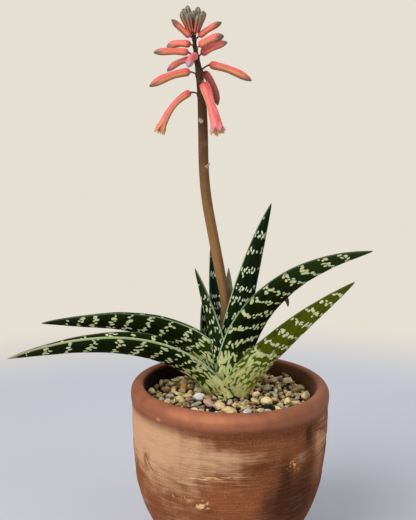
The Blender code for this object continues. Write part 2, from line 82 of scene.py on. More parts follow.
LEAVES = [
    Leaf("leaf_front_left", 185.7, 4, 60, -10, 2.0, 0.162, 0.031, 0.25, 44, -10, 12, 0.1180, 0.0061, 0),
    Leaf("leaf_front_right", -30, -6, 57, 41, 2.3, 0.124, 0.0335, 0.23, 39, 2, -2, 0.1225, 0.0060, 0),
    Leaf("leaf_back_left", 175.8, 3, 70, -2, 2.7, 0.144, 0.031, 0.23, 48, 12, 9, 0.1304, 0.0058, -0.0012),
    Leaf("leaf_big_right", -11.2, 1.5, 97, 13.2, 1.4, 0.149, 0.0355, 0.28, 39, -15, -10, 0.1255, 0.0060, 0),
    Leaf("leaf_low_back_left", 132, 0, 50, -8, 1.5, 0.080, 0.026, 0.23, 38, 0, 0, 0.1190, 0.0070, 0),
    Leaf("leaf_low_back", 74, 0, 52, 0, 1.4, 0.088, 0.026, 0.23, 38, 0, 0, 0.1200, 0.0070, 0),
    Leaf("leaf_dry_tip", 50, 11, 73, -92, 0.43, 0.109, 0.016, 0.22, 30, 0, 0, 0.1288, 0.0070, 0.0015),
    Leaf("leaf_tall_right", -46, 3, 78.3, 72.6, 1.2, 0.1315, 0.0321, 0.12, 28, -5.9, -10.7,
         0.1313, -0.0003, 0.0033),
    Leaf("leaf_tall_back", 112.5, 0, 77, 78, 1.0, 0.100, 0.0205, 0.20, 23, 0, -5, 0.1325, 0.0061, 0.0025),
    Leaf("leaf_narrow_back", 84.5, 4, 62, 92, 1.0, 0.080, 0.017, 0.20, 28, 0, 3, 0.1302, 0.0070, 0.0025),
    Leaf("leaf_small_left", 158, -4, 60, 98, 0.92, 0.0615, 0.0168, 0.20, 22, -2, -14, 0.1280, 0.0073, 0.0024),
    Leaf("leaf_small_front", 220, 2, 78, 68, 0.87, 0.0847, 0.017, 0.20, 24, 8, 6, 0.1335, 0.0061, -0.0023),
]
LEAF_SWELL = 0.6                # how far a leaf swells before it tapers

# How each leaf is marked. Bands are the shares of its length at which a row of spots crosses it, and pale
# is the share at which the pale skin of its base ends. Slim narrows the spots, blunt makes the tip taper
# later, and lean is how far the rows bend towards the tip away from the front margin. Many is the share of
# places where a spot grows.
Marking = namedtuple("Marking", "bands pale sun blue dry margin slim blunt lean many")
MARKINGS = {
    "leaf_front_left": Marking(
        (0.02, 0.05, 0.085, 0.125, 0.17, 0.22, 0.275, 0.335, 0.42, 0.52, 0.635, 0.725, 0.82),
        0.19, 0.05, 0.0, 0.035, 0.00050, 0.90, 0.8, 0.75, 0.90),
    "leaf_front_right": Marking(
        (0.02, 0.065, 0.11, 0.155, 0.205, 0.255, 0.31, 0.405, 0.50, 0.61, 0.71, 0.805, 0.885),
        0.30, 0.95, 0.0, 0.010, 0.00024, 0.95, 0.8, 0.45, 0.98),
    "leaf_back_left": Marking(
        (0.03, 0.08, 0.13, 0.19, 0.27, 0.36, 0.455, 0.55, 0.625, 0.71, 0.79, 0.87),
        0.20, 0.06, 0.0, 0.006, 0.00026, 0.90, 0.8, 0.7, 0.92),
    "leaf_big_right": Marking(
        (0.02, 0.055, 0.095, 0.14, 0.20, 0.275, 0.355, 0.43, 0.50, 0.595, 0.675, 0.77, 0.86),
        0.17, 0.05, 0.0, 0.008, 0.00030, 1.0, 0.8, 1.0, 0.96),
    "leaf_low_back_left": Marking(
        (0.04, 0.12, 0.21, 0.31, 0.42, 0.54, 0.67, 0.81), 0.34, 0.2, 0.0, 0.020, 0.00030, 1.0, 0.8, 0.3, 0.90),
    "leaf_low_back": Marking(
        (0.04, 0.12, 0.21, 0.31, 0.42, 0.54, 0.67, 0.81), 0.34, 0.2, 0.0, 0.020, 0.00030, 1.0, 0.8, 0.3, 0.90),
    "leaf_dry_tip": Marking(
        (0.05, 0.12, 0.20, 0.29, 0.39, 0.50, 0.60), 0.24, 0.1, 0.0, 0.230, 0.00020, 1.0, 0.62, 0.3, 0.80),
    "leaf_tall_right": Marking(
        (0.06, 0.13, 0.21, 0.29, 0.37, 0.455, 0.52, 0.623, 0.731, 0.825, 0.909),
        0.13, 0.04, 0.3, 0.003, 0.00026, 0.72, 0.8, 0.2, 0.86),
    "leaf_tall_back": Marking(
        (0.10, 0.20, 0.30, 0.40, 0.49, 0.56, 0.72, 0.86), 0.12, 0.0, 1.0, 0.003, 0.00028, 0.75, 0.8, 0.1, 0.80),
    "leaf_narrow_back": Marking(
        (0.12, 0.26, 0.40, 0.54, 0.68, 0.82), 0.12, 0.0, 0.9, 0.004, 0.00034, 0.8, 0.8, 0.1, 0.80),
    "leaf_small_left": Marking(
        (0.10, 0.22, 0.34, 0.47, 0.62, 0.78), 0.14, 0.05, 0.5, 0.008, 0.00026, 0.75, 0.8, 0.2, 0.60),
    "leaf_small_front": Marking(
        (0.05, 0.12, 0.19, 0.27, 0.35, 0.44, 0.53, 0.63, 0.73, 0.84),
        0.10, 0.20, 0.35, 0.005, 0.00042, 0.62, 0.8, 0.1, 0.55),
}

# The flower stalk: centre points from the heart of the rosette to its tip, with radii.
STALK_POINTS = [
    (-0.0010, 0.0020, 0.1357, 0.0030),
    (-0.0036, 0.0020, 0.1660, 0.0030),
    (-0.0036, 0.0020, 0.1880, 0.0032),
    (-0.0073, 0.0020, 0.2087, 0.0035),
    (-0.0117, 0.0020, 0.2319, 0.0035),
    (-0.0164, 0.0020, 0.2582, 0.0034),
    (-0.0184, 0.0020, 0.2800, 0.0033),
    (-0.0190, 0.0020, 0.3080, 0.0032),
    (-0.0199, 0.0020, 0.3287, 0.0028),
    (-0.0216, 0.0020, 0.3440, 0.0023),
    (-0.0238, 0.0020, 0.3575, 0.0014),
    (-0.0253, 0.0020, 0.3710, 0.0010),
]

Flower = namedtuple("Flower", "name height bearing stalk stalk_rise length rise tip_rise curl radius ripeness")

# Ripeness runs from 0 for a green bud to 1 for a full coral tube, and is 2 where it has opened.
FLOWERS = [
    Flower("flower_left_hanging", 0.3296, 192, 0.0043, 10, 0.0328, -23, -68, 1.5, 0.0025, 2.0),
    Flower("flower_right_hanging", 0.3370, -55, 0.0015, -30, 0.0352, -57, -68, 1.0, 0.0036, 2.0),
    Flower("flower_left_large", 0.3422, 200, 0.0042, 20, 0.0300, -5, -32, 1.2, 0.0028, 1.0),
    Flower("flower_right_shaded", 0.3440, 50, 0.0030, -5, 0.0265, -30, -76, 1.3, 0.0027, 0.95),
    Flower("flower_right_large", 0.3450, 2, 0.0060, 36, 0.0302, -8, -33, 1.0, 0.0028, 1.0),
    Flower("flower_left_behind", 0.3510, 148, 0.0030, 20, 0.0210, 2, -38, 1.2, 0.0022, 0.9),
    Flower("flower_front", 0.3527, -105, 0.0020, 20, 0.0185, 2, -50, 1.2, 0.0026, 0.8),
    Flower("flower_left_level", 0.3535, 186, 0.0045, 40, 0.0232, 6, -8, 1.0, 0.0024, 0.85),
    Flower("flower_right_behind", 0.3535, 28, 0.0030, 50, 0.0215, 33, 13, 1.0, 0.0026, 0.8),
    Flower("flower_right_upper", 0.3590, -22, 0.0020, 40, 0.0182, 31, 7, 1.0, 0.0030, 0.75),
    Flower("flower_left_upper", 0.3607, 160, 0.0020, 25, 0.0172, 17, -20, 1.2, 0.0025, 0.7),
    Flower("bud_left", 0.3653, 205, 0.0020, 35, 0.0165, 36, 40, 1.0, 0.0021, 0.65),
    Flower("bud_right", 0.3647, -15, 0.0025, 48, 0.0178, 38, 20, 1.0, 0.0021, 0.65),
    Flower("bud_top_left", 0.3675, 188, 0.0015, 55, 0.0148, 64, 70, 1.0, 0.0021, 0.2),
    Flower("bud_top_right", 0.3680, -4, 0.0015, 60, 0.0144, 68, 74, 1.0, 0.0021, 0.2),
    Flower("bud_top_front_left", 0.3680, 242, 0.0015, 55, 0.0128, 60, 66, 1.0, 0.0021, 0.3),
    Flower("bud_top_front_right", 0.3675, 298, 0.0015, 55, 0.0125, 60, 66, 1.0, 0.0022, 0.25),
    Flower("bud_top_behind", 0.3690, 92, 0.0015, 60, 0.0125, 62, 68, 1.0, 0.0019, 0.15),
    Flower("bud_tip_left", 0.3700, 172, 0.0015, 62, 0.0140, 68, 74, 1.0, 0.0019, 0.1),
    Flower("bud_tip_middle", 0.3708, 145, 0.0015, 74, 0.0148, 76, 82, 1.0, 0.0018, 0.1),
    Flower("bud_tip_right", 0.3705, 35, 0.0015, 74, 0.0142, 78, 82, 1.0, 0.0019, 0.1),
]

BRACTS = [("bract_lower", 0.2815, -40), ("bract_upper", 0.3115, -110)]
STALK_CLEARANCE = 0.0003


def display(red, green, blue):
    """Linear values of a colour given from 0 to 1 as it looks on a screen."""
    return tuple(((c + 0.055) / 1.055) ** 2.4 if c > 0.04045 else c / 12.92 for c in (red, green, blue))


# ---- Sizes and colours a user would change ---------------------------------------------------

def colour(name, description, shade):
    return FloatVectorProperty(name=name, description=description, default=display(*shade), subtype="COLOR",
                               size=3, min=0.0, max=1.0)


def size(name, description, value):
    return FloatProperty(name=name, description=description, default=value, min=0.0, subtype="DISTANCE",
                         unit="LENGTH", precision=5)


def number(name, description, value, low, high):
    return IntProperty(name=name, description=description, default=value, min=low, max=high, subtype="UNSIGNED")


def power(name, description, value):
    return FloatProperty(name=name, description=description, default=value, min=0.0, subtype="POWER", unit="POWER")


class AloePotSettings(bpy.types.PropertyGroup):
    """Sizes and colours of the clay pot."""

    clay: colour("Clay", "Fired clay where it is clean", (0.610, 0.345, 0.205))
    lip_clay: colour("Lip Clay", "Smoother clay of the lip", (0.625, 0.378, 0.275))
    bloom: colour("Bloom", "Pale mineral bloom on the wall", (0.845, 0.655, 0.500))
    stain: colour("Stain", "Damp and algae stains", (0.275, 0.145, 0.075))
    # The inner wall's colour; it is also darkened almost to black for painted shadow on the left.
    inner_wall_and_shadow: colour("Damp Inside", "Inner wall above the pebbles", (0.43, 0.29, 0.205))
    throwing: size("Throwing Ridges", "Depth of the ridges that throwing left in the wall", 0.00016)
    lip_wave: size("Lip Wave", "How far the lip strays from level", 0.0008)
    sides: number("Sides", "Steps round the pot", 180, 24, 360)


class AloeGravelSettings(bpy.types.PropertyGroup):
    """Numbers and sizes of the pebbles."""

    count: number("Pebbles", "Pebbles dropped into the pot", 1000, 0, 3000)
    smallest: size("Smallest", "Radius of the smallest pebble", 0.0012)
    largest: size("Largest", "Radius of the largest pebble", 0.0038)
    seed: number("Seed", "Another number lays the pebbles another way", 7, 0, 10000)


class AloeLeafSettings(bpy.types.PropertyGroup):
    """Sizes and colours of the leaves."""

    deep: colour("Deep Green", "Skin in the channel and on the keel", (0.022, 0.052, 0.018))
    fresh: colour("Fresh Green", "Skin of a leaf that grew in the sun", (0.345, 0.385, 0.050))
    blue: colour("Blue Green", "Skin of the youngest leaves", (0.060, 0.185, 0.130))
    spot: colour("Spots", "Pale spots", (0.895, 0.925, 0.675))
    base: colour("Base", "Pale skin low on the leaf", (0.900, 0.925, 0.560))
    margin: colour("Margin", "Horny edge of the leaf", (0.720, 0.800, 0.640))
    dry: colour("Dry Tip", "Withered tip", (0.44, 0.34, 0.24))
    spot_pitch: size("Spot Pitch", "Width of a strip in which spots lie", 0.0023)
    tooth: size("Tooth", "Height of the tiny teeth on the margin", 0.00016)
    rings: number("Rings", "Steps along a long leaf", 300, 20, 600)


class AloeFlowerSettings(bpy.types.PropertyGroup):
    """Colours of the stalk and the flowers."""

    coral: colour("Coral", "Upper side of the tubes", (0.965, 0.375, 0.365))
    rose: colour("Rose", "Base of the tubes", (0.800, 0.250, 0.235))
    gold: colour("Gold", "Under side of the tubes", (0.930, 0.680, 0.430))
    tip: colour("Tip", "Grey-green tips of closed flowers", (0.385, 0.350, 0.290))
    bud: colour("Bud", "Youngest buds", (0.560, 0.540, 0.445))
    lining: colour("Lining", "Inside of an open flower", (0.97, 0.80, 0.66))
    anther: colour("Anther", "Pollen on the anthers", (0.95, 0.75, 0.22))
    pedicel: colour("Pedicel", "Thin stalk of a flower", (0.26, 0.12, 0.08))
    stalk_low: colour("Stalk, Low", "Flower stalk near the leaves", (0.635, 0.460, 0.280))
    stalk_high: colour("Stalk, High", "Flower stalk among the flowers", (0.270, 0.165, 0.085))
    bract: colour("Bract", "Dry papery scales", (0.910, 0.800, 0.680))


class AloeStageSettings(bpy.types.PropertyGroup):
    """Backdrop, lamps and camera."""

    wall: colour("Wall", "Backdrop", (0.902, 0.878, 0.825))
    table: colour("Table", "Floor under the pot", (0.800, 0.810, 0.845))
    key: power("Key Light", "Power of the large soft lamp", 18.0)
    fill: power("Fill Light", "Power of the weak lamp opposite", 2.9)
    ambient: FloatProperty(name="Ambient", description="Strength of the light from all round", default=0.35,
                           min=0.0, subtype="FACTOR")
    lens: FloatProperty(name="Lens", description="Focal length of the camera", default=54.0, min=1.0,
                        subtype="DISTANCE_CAMERA")


# ---- Shader maths ----------------------------------------------------------------------------

def math_method(operation, swapped=False):
    """A method that puts a Math node between a wire and one other operand."""
    def method(wire, other):
        operands = (other, wire) if swapped else (wire, other)
        return wire.nodes.math(operation, *operands)
    return method


class Wire:
    """An output socket in a shader tree, so that maths on numbers reads as an expression."""

    __add__, __radd__ = math_method("ADD"), math_method("ADD", True)
    __sub__, __rsub__ = math_method("SUBTRACT"), math_method("SUBTRACT", True)
    __mul__, __rmul__ = math_method("MULTIPLY"), math_method("MULTIPLY", True)
    __truediv__, __rtruediv__ = math_method("DIVIDE"), math_method("DIVIDE", True)
    __pow__, __rpow__ = math_method("POWER"), math_method("POWER", True)

    def __init__(self, nodes, socket):
        self.nodes = nodes
        self.socket = socket

    def math(self, operation, *others):
        return self.nodes.math(operation, self, *others)

    def __neg__(self):
        return self * -1.0

    def __abs__(self):
        return self.math("ABSOLUTE")

    def floor(self):
        return self.math("FLOOR")

    def clamped(self):
        return self.nodes.math("ADD", self, 0.0, clamp=True)

    def over(self, limit):
        """1 where this is more than the limit, and 0 elsewhere."""
        return self.math("GREATER_THAN", limit)

    def rising(self, low, high):
        """0 below low, 1 above high, and smooth between. It falls instead where low is above high."""
        settings = {"interpolation_type": "SMOOTHSTEP"}
        inputs = {"Value": self, "From Min": low, "From Max": high, "To Min": 0.0, "To Max": 1.0}
        return self.nodes.add("ShaderNodeMapRange", settings, inputs)

    def output(self, name):
        """Another output of the node that this comes from."""
        return Wire(self.nodes, self.socket.node.outputs[name])


class Nodes:
    """A tree of shader nodes, and the one method that adds nodes to it."""

    def __init__(self, tree):
        self.tree = tree

    def add(self, kind, settings=None, inputs=None, output=0):
        """Add a node, set it up, feed its sockets with values or wires, and return one of its outputs."""
        node = self.tree.nodes.new(kind)
        for name, value in (settings or {}).items():
            setattr(node, name, value)
        for key, value in (inputs or {}).items():
            self.feed(node.inputs[key], value)
        return Wire(self, node.outputs[output])

    def feed(self, socket, value):
        if isinstance(value, Wire):
            self.tree.links.new(value.socket, socket)
        elif socket.type == "RGBA" and len(value) == 3:
            socket.default_value = (*value, 1.0)
        else:
            socket.default_value = value

    def math(self, operation, *operands, clamp=False):
        return self.add("ShaderNodeMath", {"operation": operation, "use_clamp": clamp}, dict(enumerate(operands)))

    def between(self, share, first, second, end):
        """Mix two shaders and lead them to the output node named end."""
        both = self.add("ShaderNodeMixShader", None, {0: share, 1: first, 2: second})
        self.feed(self.tree.nodes[end].inputs["Surface"], both)


class Shader(Nodes):
    """A new material with a Principled shader."""

    def __init__(self, name):
        self.material = bpy.data.materials.new(name)
        self.material.use_nodes = True
        super().__init__(self.material.node_tree)
        self.principled = self.tree.nodes["Principled BSDF"]

    def set(self, **values):
        """Set the shader's own sockets, whose names have spaces where these have underscores."""
        for name, value in values.items():
            self.feed(self.principled.inputs[name.replace("_", " ")], value)
        return self.material

    def attribute(self, name, output="Vector"):
        return self.add("ShaderNodeAttribute", {"attribute_name": name}, output=output)

    def place(self):
        return self.add("ShaderNodeTexCoord", output="Object")

    def parts_of(self, vector):
        split = self.add("ShaderNodeSeparateXYZ", None, {0: vector})
        return split, split.output("Y"), split.output("Z")

    def joined(self, x, y, z):
        return self.add("ShaderNodeCombineXYZ", None, {0: x, 1: y, 2: z})

    def scaled(self, vector, amounts):
        return self.add("ShaderNodeVectorMath", {"operation": "MULTIPLY"}, {0: vector, 1: amounts})

    def moved(self, vector, amounts):
        return self.add("ShaderNodeVectorMath", {"operation": "ADD"}, {0: vector, 1: amounts})

    def noise(self, vector, scale, detail=2.0, roughness=0.5, distortion=0.0):
        inputs = {"Vector": vector, "Scale": scale, "Detail": detail, "Roughness": roughness,
                  "Distortion": distortion}
        return self.add("ShaderNodeTexNoise", None, inputs)

    def cells(self, vector, scale, output="Distance"):
        return self.add("ShaderNodeTexVoronoi", {"feature": "F1"}, {"Vector": vector, "Scale": scale}, output)

    def chance(self, vector):
        """Three even random numbers for each place, as a vector's parts."""
        return self.parts_of(self.add("ShaderNodeTexWhiteNoise", None, {"Vector": vector}, "Color"))

    def mix(self, share, first, second, blend="MIX"):
        settings = {"data_type": "RGBA", "blend_type": blend}
        return self.add("ShaderNodeMix", settings, {0: share, 6: first, 7: second}, 2)

    def layered(self, shade, layers):
        """A colour with others mixed over it in turn, each given as its share and its colour."""
        for share, upper in layers:
            shade = self.mix(share, shade, upper)
        return shade

    def bump(self, height, distance, strength=1.0):
        return self.add("ShaderNodeBump", None, {"Height": height, "Distance": distance, "Strength": strength})


# ---- Meshes ------------------------------------------------------------------------------------

Form = namedtuple("Form", "points faces")


def columns(*values):
    """Numbers and arrays side by side, as the columns of one array."""
    return np.stack(np.broadcast_arrays(*values), -1)


def ramp(values, low, high):
    """0 up to low, 1 from high on, and straight between. It falls instead where low is above high."""
    return np.clip((values - low) / (high - low), 0.0, 1.0)


def full_turn(sides):
    return np.linspace(0.0, math.tau, sides, endpoint=False)


def joined_forms(forms):
    """One form from several, which stay separate bodies inside it."""
    points, faces, start = [], [], 0
    for form in forms:
        points.append(np.asarray(form.points))
        faces.extend(tuple(index + start for index in face) for face in form.faces)
        start += len(form.points)
    return Form(np.concatenate(points), faces)


def set_values(mesh, name, domain, values):
    """Store numbers or vectors that a material reads by name."""
    values = np.asarray(values, np.float32)
    kind = "FLOAT" if values.ndim == 1 else "FLOAT_VECTOR"
    attribute = mesh.attributes.new(name, kind, domain)
    attribute.data.foreach_set("value" if kind == "FLOAT" else "vector", values.ravel())


def stand(name, data, place=(0.0, 0.0, 0.0)):
    """A new object in the scene, placed from the foot of the pot's axis."""
    item = bpy.data.objects.new(name, data)
    bpy.context.scene.collection.objects.link(item)
    item.location = AXIS + Vector(place)
    return item


def add_piece(name, form, materials, slot, replaced=(), point_values=None, corner_values=None, finish_of=None,
              crease=None):
    """A smooth piece at the pot, riding with the object.

    finish_of gives each face its material, and edges bent by more than the angle crease are left sharp.
    """
    mesh = bpy.data.meshes.new(name)
    mesh.from_pydata([tuple(point) for point in form.points], [], form.faces)
    for domain, named in (("POINT", point_values), ("CORNER", corner_values)):
        for label, values in (named or {}).items():
            set_values(mesh, label, domain, values)
    for material in materials:
        mesh.materials.append(material)
    if finish_of is not None:
        mesh.polygons.foreach_set("material_index", np.asarray(finish_of, np.int32))
    mesh.shade_smooth()
    if crease is not None:
        mesh.set_sharp_from_angle(angle=crease)
    mesh.update()
    piece = stand(name, mesh)
    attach(piece, "root")
    if replaced:
        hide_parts(*replaced)
    return piece


def ring_quads(rings, sides):
    """Faces between closed rings of points, each of which runs anticlockwise seen from the far end."""
    ring, side = np.meshgrid(np.arange(rings - 1), np.arange(sides), indexing="ij")
    near = ring * sides + side
    beside = ring * sides + (side + 1) % sides
    return np.stack([near, beside, beside + sides, near + sides], -1).reshape(-1, 4)


def closed_loft(rings, first, last):
    """A form through rings, an array of (ring, side, xyz), closed to a point at each end."""
    count, sides = rings.shape[:2]
    faces = [tuple(face) for face in ring_quads(count, sides).tolist()]
    start, end, top = count * sides, count * sides + 1, (count - 1) * sides
    faces += [(start, (k + 1) % sides, k) for k in range(sides)]
    faces += [(end, top + k, top + (k + 1) % sides) for k in range(sides)]
    return Form(np.concatenate([rings.reshape(-1, 3), [first], [last]]), faces)


def smooth_line(points, steps):
    """Points on a smooth curve through the given ones, whose columns may hold radii too."""
    points = np.asarray(points, float)
    padded = np.vstack([2 * points[0] - points[1], points, 2 * points[-1] - points[-2]])
    line = []
    for i in range(1, len(padded) - 2):
        before, start, end, after = padded[i - 1:i + 3]
        for t in np.arange(steps) / steps:
            line.append(0.5 * (2 * start + (end - before) * t + (2 * before - 5 * start + 4 * end - after) * t ** 2
                               + (3 * start - before - 3 * end + after) * t ** 3))
    line.append(points[-1])
    return np.array(line)


def axes_along(line, upright=(0.0, 0.0, 1.0)):
    """For each point of a line, its direction and two directions square to it, without any twist."""
    along = np.gradient(line, axis=0)
    along /= np.linalg.norm(along, axis=1)[:, None]
    side = np.cross(along[0], upright)
    if np.linalg.norm(side) < 1e-3:
        side = np.array([1.0, 0.0, 0.0])
    sides = []
    for direction in along:
        side = side - direction * np.dot(side, direction)
        side = side / np.linalg.norm(side)
        sides.append(side)
    sides = np.array(sides)
    return along, sides, np.cross(along, sides)


def unit(vector):
    vector = np.asarray(vector, float)
    return vector / np.linalg.norm(vector)


# ---- Pot ---------------------------------------------------------------------------------------

POT_OUTSIDE = [
    (0.0630, 0.1300), (0.0655, 0.1300), (0.0680, 0.1284), (0.0697, 0.1255), (0.0700, 0.1220), (0.0698, 0.1192),
    (0.0694, 0.1176), (0.0694, 0.1154), (0.0693, 0.1050), (0.0686, 0.0850), (0.0658, 0.0600), (0.0615, 0.0450),
    (0.0571, 0.0350), (0.0520, 0.0230), (0.0452, 0.0090), (0.0422, 0.0020),
]
POT_FOOT = [(0.0414, 0.0004), (0.0405, 0.0000), (0.0250, 0.0000), (0.0078, 0.0000), (0.0071, 0.0006)]
POT_INSIDE = [
    (0.0070, 0.0050), (0.0072, 0.0094), (0.0082, 0.0100), (0.0200, 0.0100), (0.0330, 0.0102), (0.0345, 0.0110),
    (0.0500, 0.0320), (0.0575, 0.0560), (BORE, 0.0800), (BORE, 0.1000), (BORE, 0.1200), (0.0604, 0.1250),
    (0.0612, 0.1285),
]
LOW_WALL_LEAN = 0.0010          # how far the lower wall stands off the axis, towards -X
OUTSIDE_STEPS, INSIDE_STEPS = 7, 4
LIP_LOW = 0.1174                # where the thrown wall meets the lip


def pot_profile():
    """(radius, height) points: up over the lip from inside, down the wall, and under the foot."""
    return np.vstack([smooth_line(POT_OUTSIDE, OUTSIDE_STEPS), POT_FOOT, smooth_line(POT_INSIDE, INSIDE_STEPS)])


def hand_made(radius, height, bearing, wave, throwing):
    """Move points of the turned profile the way a thrown pot strays from a perfect one."""
    tilted = np.cos(bearing - math.radians(150)) + 0.3 * np.sin(2 * bearing + 0.8)
    height = height + wave * ramp(height, 0.100, 0.130) * tilted
    outside = ramp(radius, 0.0615, 0.0635) * ramp(height, LIP_LOW + 0.002, LIP_LOW - 0.002)
    ridges = np.sin(height * 2300 + 1.7 * np.sin(height * 430) + 0.35 * np.sin(bearing * 2 + height * 90))
    slow = np.sin(height * 310 + 1.1) * 0.8
    return radius + throwing * outside * (0.55 * ridges + slow), height


def lean_of(radius, height):
    """How far the outer wall stands off the axis: most near the foot, and nothing at the lip."""
    outside = radius > BORE * np.clip(0.62 + height * 4.0, 0.0, 1.0)
    return -LOW_WALL_LEAN * outside * ramp(height, 0.095, 0.045) * ramp(height, 0.0, 0.020)


def pot_form(settings):
    profile, sides = pot_profile(), settings.sides
    radius, bearing = np.meshgrid(profile[:, 0], full_turn(sides), indexing="ij")
    height = np.repeat(profile[:, 1:2], sides, axis=1)
    radius, height = hand_made(radius, height, bearing, settings.lip_wave, settings.throwing)
    points = columns(radius * np.cos(bearing) + lean_of(radius, height), radius * np.sin(bearing), height)
    quads = ring_quads(len(profile), sides)[:, ::-1]
    last = (len(profile) - 1) * sides
    seam = [(k, (k + 1) % sides, last + (k + 1) % sides, last + k) for k in range(sides)]
    return Form(points.reshape(-1, 3), [tuple(face) for face in quads.tolist()] + seam)


# Ovals on the pot's wall: bearing, height, half width in radians, half height, and how much each adds.
BLOOM_OVALS = [
    (-74, 0.1130, 0.85, 0.0120, -0.60), (-112, 0.1160, 0.70, 0.0050, -0.30), (-74, 0.0945, 0.30, 0.0080, -0.35),
    (-160, 0.0750, 0.26, 0.0260, -0.30), (-137, 0.1040, 0.16, 0.0150, 0.20), (-94, 0.0990, 0.50, 0.0150, 0.30),
    (-172, 0.0920, 0.24, 0.0170, -0.34), (-85, 0.0750, 0.07, 0.0055, 0.26), (-69, 0.0665, 0.07, 0.0075, 0.34),
    (-50, 0.0945, 0.16, 0.0080, 0.45),
]
DAMP_OVALS = [(-58, 0.0660, 0.62, 0.0360, 0.62), (-60, 0.0820, 0.12, 0.0340, 0.40)]
SMUDGE_OVALS = [
    (-125, 0.0705, 0.11, 0.0040, 1.0), (-105, 0.0645, 0.15, 0.0034, 1.0), (-74, 0.0945, 0.26, 0.0060, 0.6),
]
# Painted highlight on the front of the lip.
LIP_HIGHLIGHT_OVALS = [(-106, 0.1262, 0.60, 0.0065, 0.60), (-90, 0.1268, 1.20, 0.0035, 0.30)]
# Painted shadow on the wall just under the lip.
SHADOW_UNDER_LIP_OVALS = [(-90, LIP_LOW - 0.0016, 2.60, 0.0060, 0.34), (-72, 0.1150, 0.90, 0.0075, 0.30)]
SCRATCH_HEIGHT = 0.0868
SCRATCH_SLANT = 12.9            # radians that the scratch runs round the pot for each metre of height


class Clay:
    """The pot's surface: where each point lies on it, and the noises that its colours are mixed from."""

    def __init__(self, shader):
        self.shader = shader
        self.place = shader.place()
        self.x, y, self.z = shader.parts_of(self.place)
        self.bearing = y.math("ARCTAN2", self.x)
        self.radius = (self.x * self.x + y * y) ** 0.5
        self.broad = self.noise(24.0, 4.0, 0.55)
        self.middling = self.noise(80.0, 4.0, 0.6)
        self.grain = self.noise(900.0, 3.0, 0.6)
        self.wiped = self.noise(42.0, 5.0, 0.62, 6.0)
        self.lines = self.noise(52.0, 5.0, 0.72, 24.0)
        self.runs = self.noise(88.0, 3.0, 0.55, 0.16)
        self.left = self.x.rising(0.046, -0.056)
        self.body = self.z.rising(LIP_LOW + 0.003, LIP_LOW - 0.004) * self.radius.rising(0.0395, 0.045)
        self.lip = self.z.rising(LIP_LOW - 0.003, LIP_LOW + 0.003)
        self.rubbed = self.oval(-26, 0.1030, 0.30, 0.026).rising(0.0, 0.75) * self.wiped.rising(0.34, 0.56)
        self.rubbed = self.rubbed + self.oval(-30, 0.080, 0.18, 0.016) * 0.4

    def noise(self, scale, detail, roughness, flattened=None):
        """Noise, drawn out round the pot where flattened is above 1, and up it where that is below 1."""
        place = self.shader.scaled(self.place, (1.0, 1.0, flattened)) if flattened else self.place
        return self.shader.noise(place, scale, detail, roughness)

    def oval(self, at_bearing, at_height, half_width, half_height, bearing=None, height=None):
        """1 in the middle of an oval on the wall and 0 outside it. Half sizes are in radians and metres."""
        bearing = self.bearing if bearing is None else bearing
        height = self.z if height is None else height
        off = self.shader.joined((bearing - math.radians(at_bearing)) / half_width,
                                 (height - at_height) / half_height, 0.0)
        far = self.shader.add("ShaderNodeVectorMath", {"operation": "LENGTH"}, {0: off}, "Value")
        return far.rising(1.0, 0.0)

    def ovals(self, table):
        return sum((self.oval(*place) * strength for *place, strength in table), 0.0)


def bloom_on(clay):
    """Pale bloom where the wall dries first, and none on the smooth clay under the lip."""
    bloom = (clay.left * 0.80 + clay.z.rising(0.062, 0.104) * 0.62 + clay.wiped * 0.70 + clay.broad * 0.60
             + clay.runs * 0.80 + clay.lines * 0.60 + (clay.middling - 0.5) * 0.55 - 2.06)
    bloom = bloom + clay.ovals(BLOOM_OVALS)
    bloom = bloom - clay.oval(-147, 0.0890, 0.16, 0.0120) * clay.middling.rising(0.40, 0.58) * 0.50
    return ((bloom.rising(-0.10, 0.66) + clay.rubbed * 0.80) * clay.body).clamped()


def stain_on(clay):
    """Dark stains low on the side that stays damp, some of them in runs, and a few smudges."""
    stain = clay.x.rising(0.002, 0.050) * 0.74 + clay.z.rising(0.086, 0.050) * 0.22 + clay.ovals(DAMP_OVALS)
    stain = stain + clay.middling * 0.40 + clay.runs * 0.50 - 0.82
    stain = stain + clay.oval(-43, 0.1090, 0.07, 0.0100) * clay.runs.rising(0.40, 0.60) * 0.7
    stain = stain.rising(0.0, 0.95) * (1.0 - clay.rubbed * 0.8)
    smudge = clay.ovals(SMUDGE_OVALS) * clay.middling.rising(0.38, 0.58)
    smudge = smudge + clay.oval(-113, 0.0690, 0.34, 0.0060) * clay.wiped.rising(0.54, 0.40) * 0.8
    return (stain * 0.92 + smudge * 0.75).clamped() * clay.body


def chalk_on(clay):
    """Pale chips and wiped lines on the front of the wall, and specks all round it."""
    flakes = clay.noise(190.0, 3.0, 0.65).rising(0.50, 0.58)
    ragged = clay.noise(150.0, 3.0, 0.6, 7.0).rising(0.44, 0.56)
    bent = ((clay.bearing + 1.40) / 0.75) ** 2.0 * 0.0055 + clay.z
    chips = clay.oval(-107, 0.0680, 0.13, 0.0048).rising(0.0, 0.5) + clay.oval(-119, 0.0705, 0.16, 0.0036) * 0.8
    chalk = chips * flakes * 0.98 + clay.oval(-53, 0.0915, 0.16, 0.0060) * flakes * 0.85
    chalk = chalk + clay.oval(-99, 0.0886, 0.44, 0.0018, height=bent).rising(0.0, 0.6) * ragged * 0.95
    chalk = chalk + clay.oval(-112, 0.0860, 0.30, 0.0010, height=bent) * clay.lines.rising(0.46, 0.56) * 0.5
    chalk = chalk + clay.oval(-30, 0.0980, 0.15, 0.0110) * ragged * 0.35
    chalk = chalk + clay.oval(-133, 0.1205, 0.045, 0.0024) * 0.7
    specks = clay.noise(420.0, 2.0, 0.5).rising(0.68, 0.76) * clay.wiped.rising(0.45, 0.6)
    return (chalk + specks * 0.3).clamped() * clay.z.rising(LIP_LOW + 0.006, LIP_LOW + 0.002)


